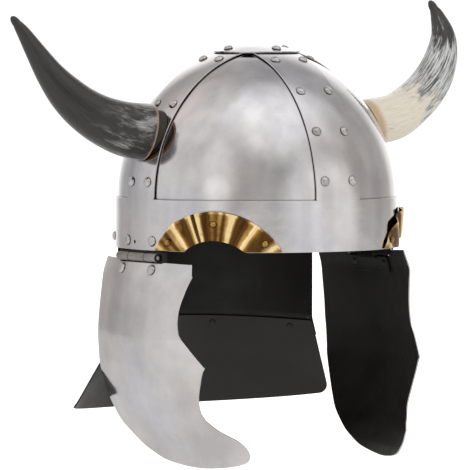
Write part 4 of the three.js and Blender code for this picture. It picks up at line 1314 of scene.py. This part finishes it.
def in_skull(point, clearance):
    if point.z < BAND_HEIGHT:
        return math.hypot(point.x, point.y) < BAND_RADIUS + clearance
    share = math.hypot(point.x, point.y) / (BAND_RADIUS + clearance)
    rise = (point.z - BAND_HEIGHT) / (DOME_RISE + clearance)
    return share ** 2 + rise ** 2 < 1


def horn_rings(curve):
    """A ring of directions across each centre, carried along without twist."""
    side = Vector((0, 0, 1))
    rings = []
    for k in range(len(curve)):
        before, after = curve[max(k - 1, 0)][0], curve[min(k + 1, len(curve) - 1)][0]
        along = (after - before).normalized()
        side = (side - along * side.dot(along)).normalized()
        other = along.cross(side)
        rings.append([side * cosine + other * sine for cosine, sine in circle(HORN_SIDES)])
    return rings


def tube(first, second):
    """Faces between two rings of a horn, by the number of each ring's first point."""
    ring = [(i, (i + 1) % HORN_SIDES) for i in range(HORN_SIDES)]
    return [(first + i, first + j, second + j, second + i) for i, j in ring]


def make_horn(name):
    horn = HORNS[name]
    curve, away = horn_curve(horn)
    rings, turns = horn_rings(curve), circle(HORN_SIDES)
    base, plane, radius = horn_base(horn), rim_plane(horn), horn["radius"]
    travelled = [0.0]
    for (a, _), (b, _) in zip(curve, curve[1:]):
        travelled.append(travelled[-1] + (b - a).length)

    def slide(point):
        """Shift along the horn that takes a rim point to the cut plane and off the skull."""
        shift = -(point - base).dot(plane) / away.dot(plane)
        while in_skull(point + away * shift, HORN_CLEARANCE):
            shift += 0.1
        return shift

    points, grain, faces = [], [], []
    seed = 5.0 if name == "left" else 2.0
    for (centre, size), ring, gone in zip(curve[:-1], rings, travelled):
        fall = max(0.0, 1 - gone / HORN_RIM_FADE) ** 1.5
        for (cosine, sine), direction, first in zip(turns, ring, rings[0]):
            lumps = noise.noise(Vector((cosine, sine, gone / HORN_LUMP_LENGTH + seed)))
            point = centre + direction * size * (1 + HORN_LUMPS * lumps)
            if fall > 0:
                point += away * slide(base + first * radius) * fall
            points.append(point)
            grain.append((cosine, sine, gone / travelled[-1]))
    tip, last = len(points), len(points) - HORN_SIDES
    points.append(curve[-1][0])
    grain.append((0, 0, 1))
    for start in range(0, last, HORN_SIDES):
        faces += tube(start, start + HORN_SIDES)
    faces += [(last + i, last + (i + 1) % HORN_SIDES, tip) for i in range(HORN_SIDES)]
    skin_faces = len(faces)
    before = 0
    for row in HORN_RIM:
        start = len(points)
        for (cosine, sine), direction in zip(turns, rings[0]):
            rim = base + direction * (radius - row["wall"])
            points.append(rim + away * (slide(rim) + row["depth"]))
            grain.append((cosine, sine, 0.0))
        faces += [(b, a, d, c) for a, b, c, d in tube(before, start)]
        before = start
    faces.append(tuple(before + i for i in reversed(range(HORN_SIDES))))
    owners = [int(k >= skin_faces) for k in range(len(faces))]
    piece = make_mesh("horn_body_" + name, points, faces, None, owners,
                      [HORN_SKIN[name], HORN_CUT[name]], grain, "grain")
    piece.data.set_sharp_from_angle(angle=rad(60))
    seated(piece, "helmet", "dark_horn" if name == "right" else "pale_horn", "horn_" + name)

    reach = radius - HORN_WALL - SEAM
    deep = [base + direction * reach + away * PLUG_DEPTH for direction in rings[0]]
    ends = []
    for start in deep:
        shift = 0.0
        while not in_skull(start - away * shift, PLUG_CLEARANCE) and shift < 60:
            shift += 0.1
        ends.append(start - away * (shift - 0.1))
    faces = tube(0, HORN_SIDES)
    faces += [tuple(reversed(range(HORN_SIDES))), tuple(range(HORN_SIDES, 2 * HORN_SIDES))]
    piece = make_mesh("plug_" + name, ends + deep, faces, None, [0] * len(faces), [PLUG])
    piece.data.set_sharp_from_angle(angle=rad(50))
    seated(piece, "helmet", "plug", "horn_plug_" + name)


# Studio


def make_camera():
    a, e = rad(CAMERA_AZIMUTH), rad(CAMERA_ELEVATION)
    right = Vector((math.cos(a), math.sin(a), 0))
    back = Vector((math.sin(a) * math.cos(e), -math.cos(a) * math.cos(e), math.sin(e)))
    target = right * CAMERA_ASIDE + Vector((0, 0, CAMERA_UP))
    data = bpy.data.cameras.new("camera")
    data.lens = CAMERA_LENS
    data.sensor_width = 36
    data.clip_end = 20
    camera = bpy.data.objects.new("camera", data)
    camera.location = (target + back * CAMERA_DISTANCE) * MM
    camera.rotation_mode = "QUATERNION"
    camera.rotation_quaternion = back.to_track_quat("Z", "Y")
    bpy.context.scene.collection.objects.link(camera)
    bpy.context.scene.camera = camera
    return right, back


def make_studio(right, back):
    """A grey tent with soft boxes, white to the camera, over a floor that glows for it."""
    world = bpy.data.worlds.new("studio")
    bpy.context.scene.world = world
    world.use_nodes = True
    tree = world.node_tree
    direction = put(tree, "ShaderNodeTexCoord").outputs["Generated"]
    level = outward(back)
    tone = (STUDIO_GREY, STUDIO_GREY, STUDIO_GREY, 1)
    for box in SOFT_BOXES:
        turn, rise = rad(box["turn"]), rad(box["rise"])
        aim = (level * math.cos(turn) + right * math.sin(turn)) * math.cos(rise)
        aim += Vector((0, 0, math.sin(rise)))
        toward = put(tree, "ShaderNodeVectorMath", {0: direction, 1: aim}, operation="DOT_PRODUCT")
        span = math.cos(rad(box["outer"])), math.cos(rad(box["inner"]))
        glow = spread(tree, toward.outputs["Value"], span, (0, box["power"]), "SMOOTHSTEP")
        tone = mix(tree, 1.0, tone, glow, "ADD")
    folds = cloud(tree, direction, 5, 1, 0.4, (1, 1, 0.2))
    tone = tinted(tree, 1.0, tone, folds, [(0.36, 0.91), (0.62, 1.08)])
    seen = put(tree, "ShaderNodeLightPath").outputs["Is Camera Ray"]
    fill(tree, tree.nodes["Background"], {
        "Color": mix(tree, seen, tone, (1.05, 1.05, 1.05, 1)), "Strength": 1,
    })

    side, height = 6.0, FLOOR_HEIGHT * MM
    mesh = bpy.data.meshes.new("floor")
    mesh.from_pydata([(-side, -side, height), (side, -side, height), (side, side, height),
                      (-side, side, height)], [], [(0, 1, 2, 3)])
    floor = bpy.data.objects.new("floor", mesh)
    material, tree, shader, place = nodes_of("floor_white")
    near = put(tree, "ShaderNodeVectorMath", {0: place, 1: level}, operation="DOT_PRODUCT")
    tone = ramp(tree, spread(tree, near.outputs["Value"], (-1.5, 0.8)), [(0.0, 0.6), (1.0, 0.96)])
    seen = put(tree, "ShaderNodeLightPath").outputs["Is Camera Ray"]
    fill(tree, shader, {
        "Base Color": tinted(tree, 1.0, tone, cloud(tree, place, 3, 2), [(0.3, 0.97), (0.7, 1.0)]),
        "Roughness": 0.9, "Emission Color": (1, 1, 1, 1),
        "Emission Strength": maths(tree, "MULTIPLY_ADD", seen, FLOOR_GLOW, FLOOR_BOUNCE),
    })
    mesh.materials.append(material)
    bpy.context.scene.collection.objects.link(floor)


bpy.context.scene.view_settings.view_transform = "Standard"
right, back = make_camera()
make_studio(right, back)

make_band()
for rib_name in RIB_TURN:
    make_rib(rib_name)
for panel_name, panel_turn in (("front_left", 45), ("rear_left", 135), ("rear_right", 225),
                               ("front_right", 315)):
    make_panel(panel_name, panel_turn)
make_crown()
make_rib_rivets()
make_crescents()
make_nape()
make_flaps()
make_hinges()
for horn_name in HORNS:
    make_horn(horn_name)
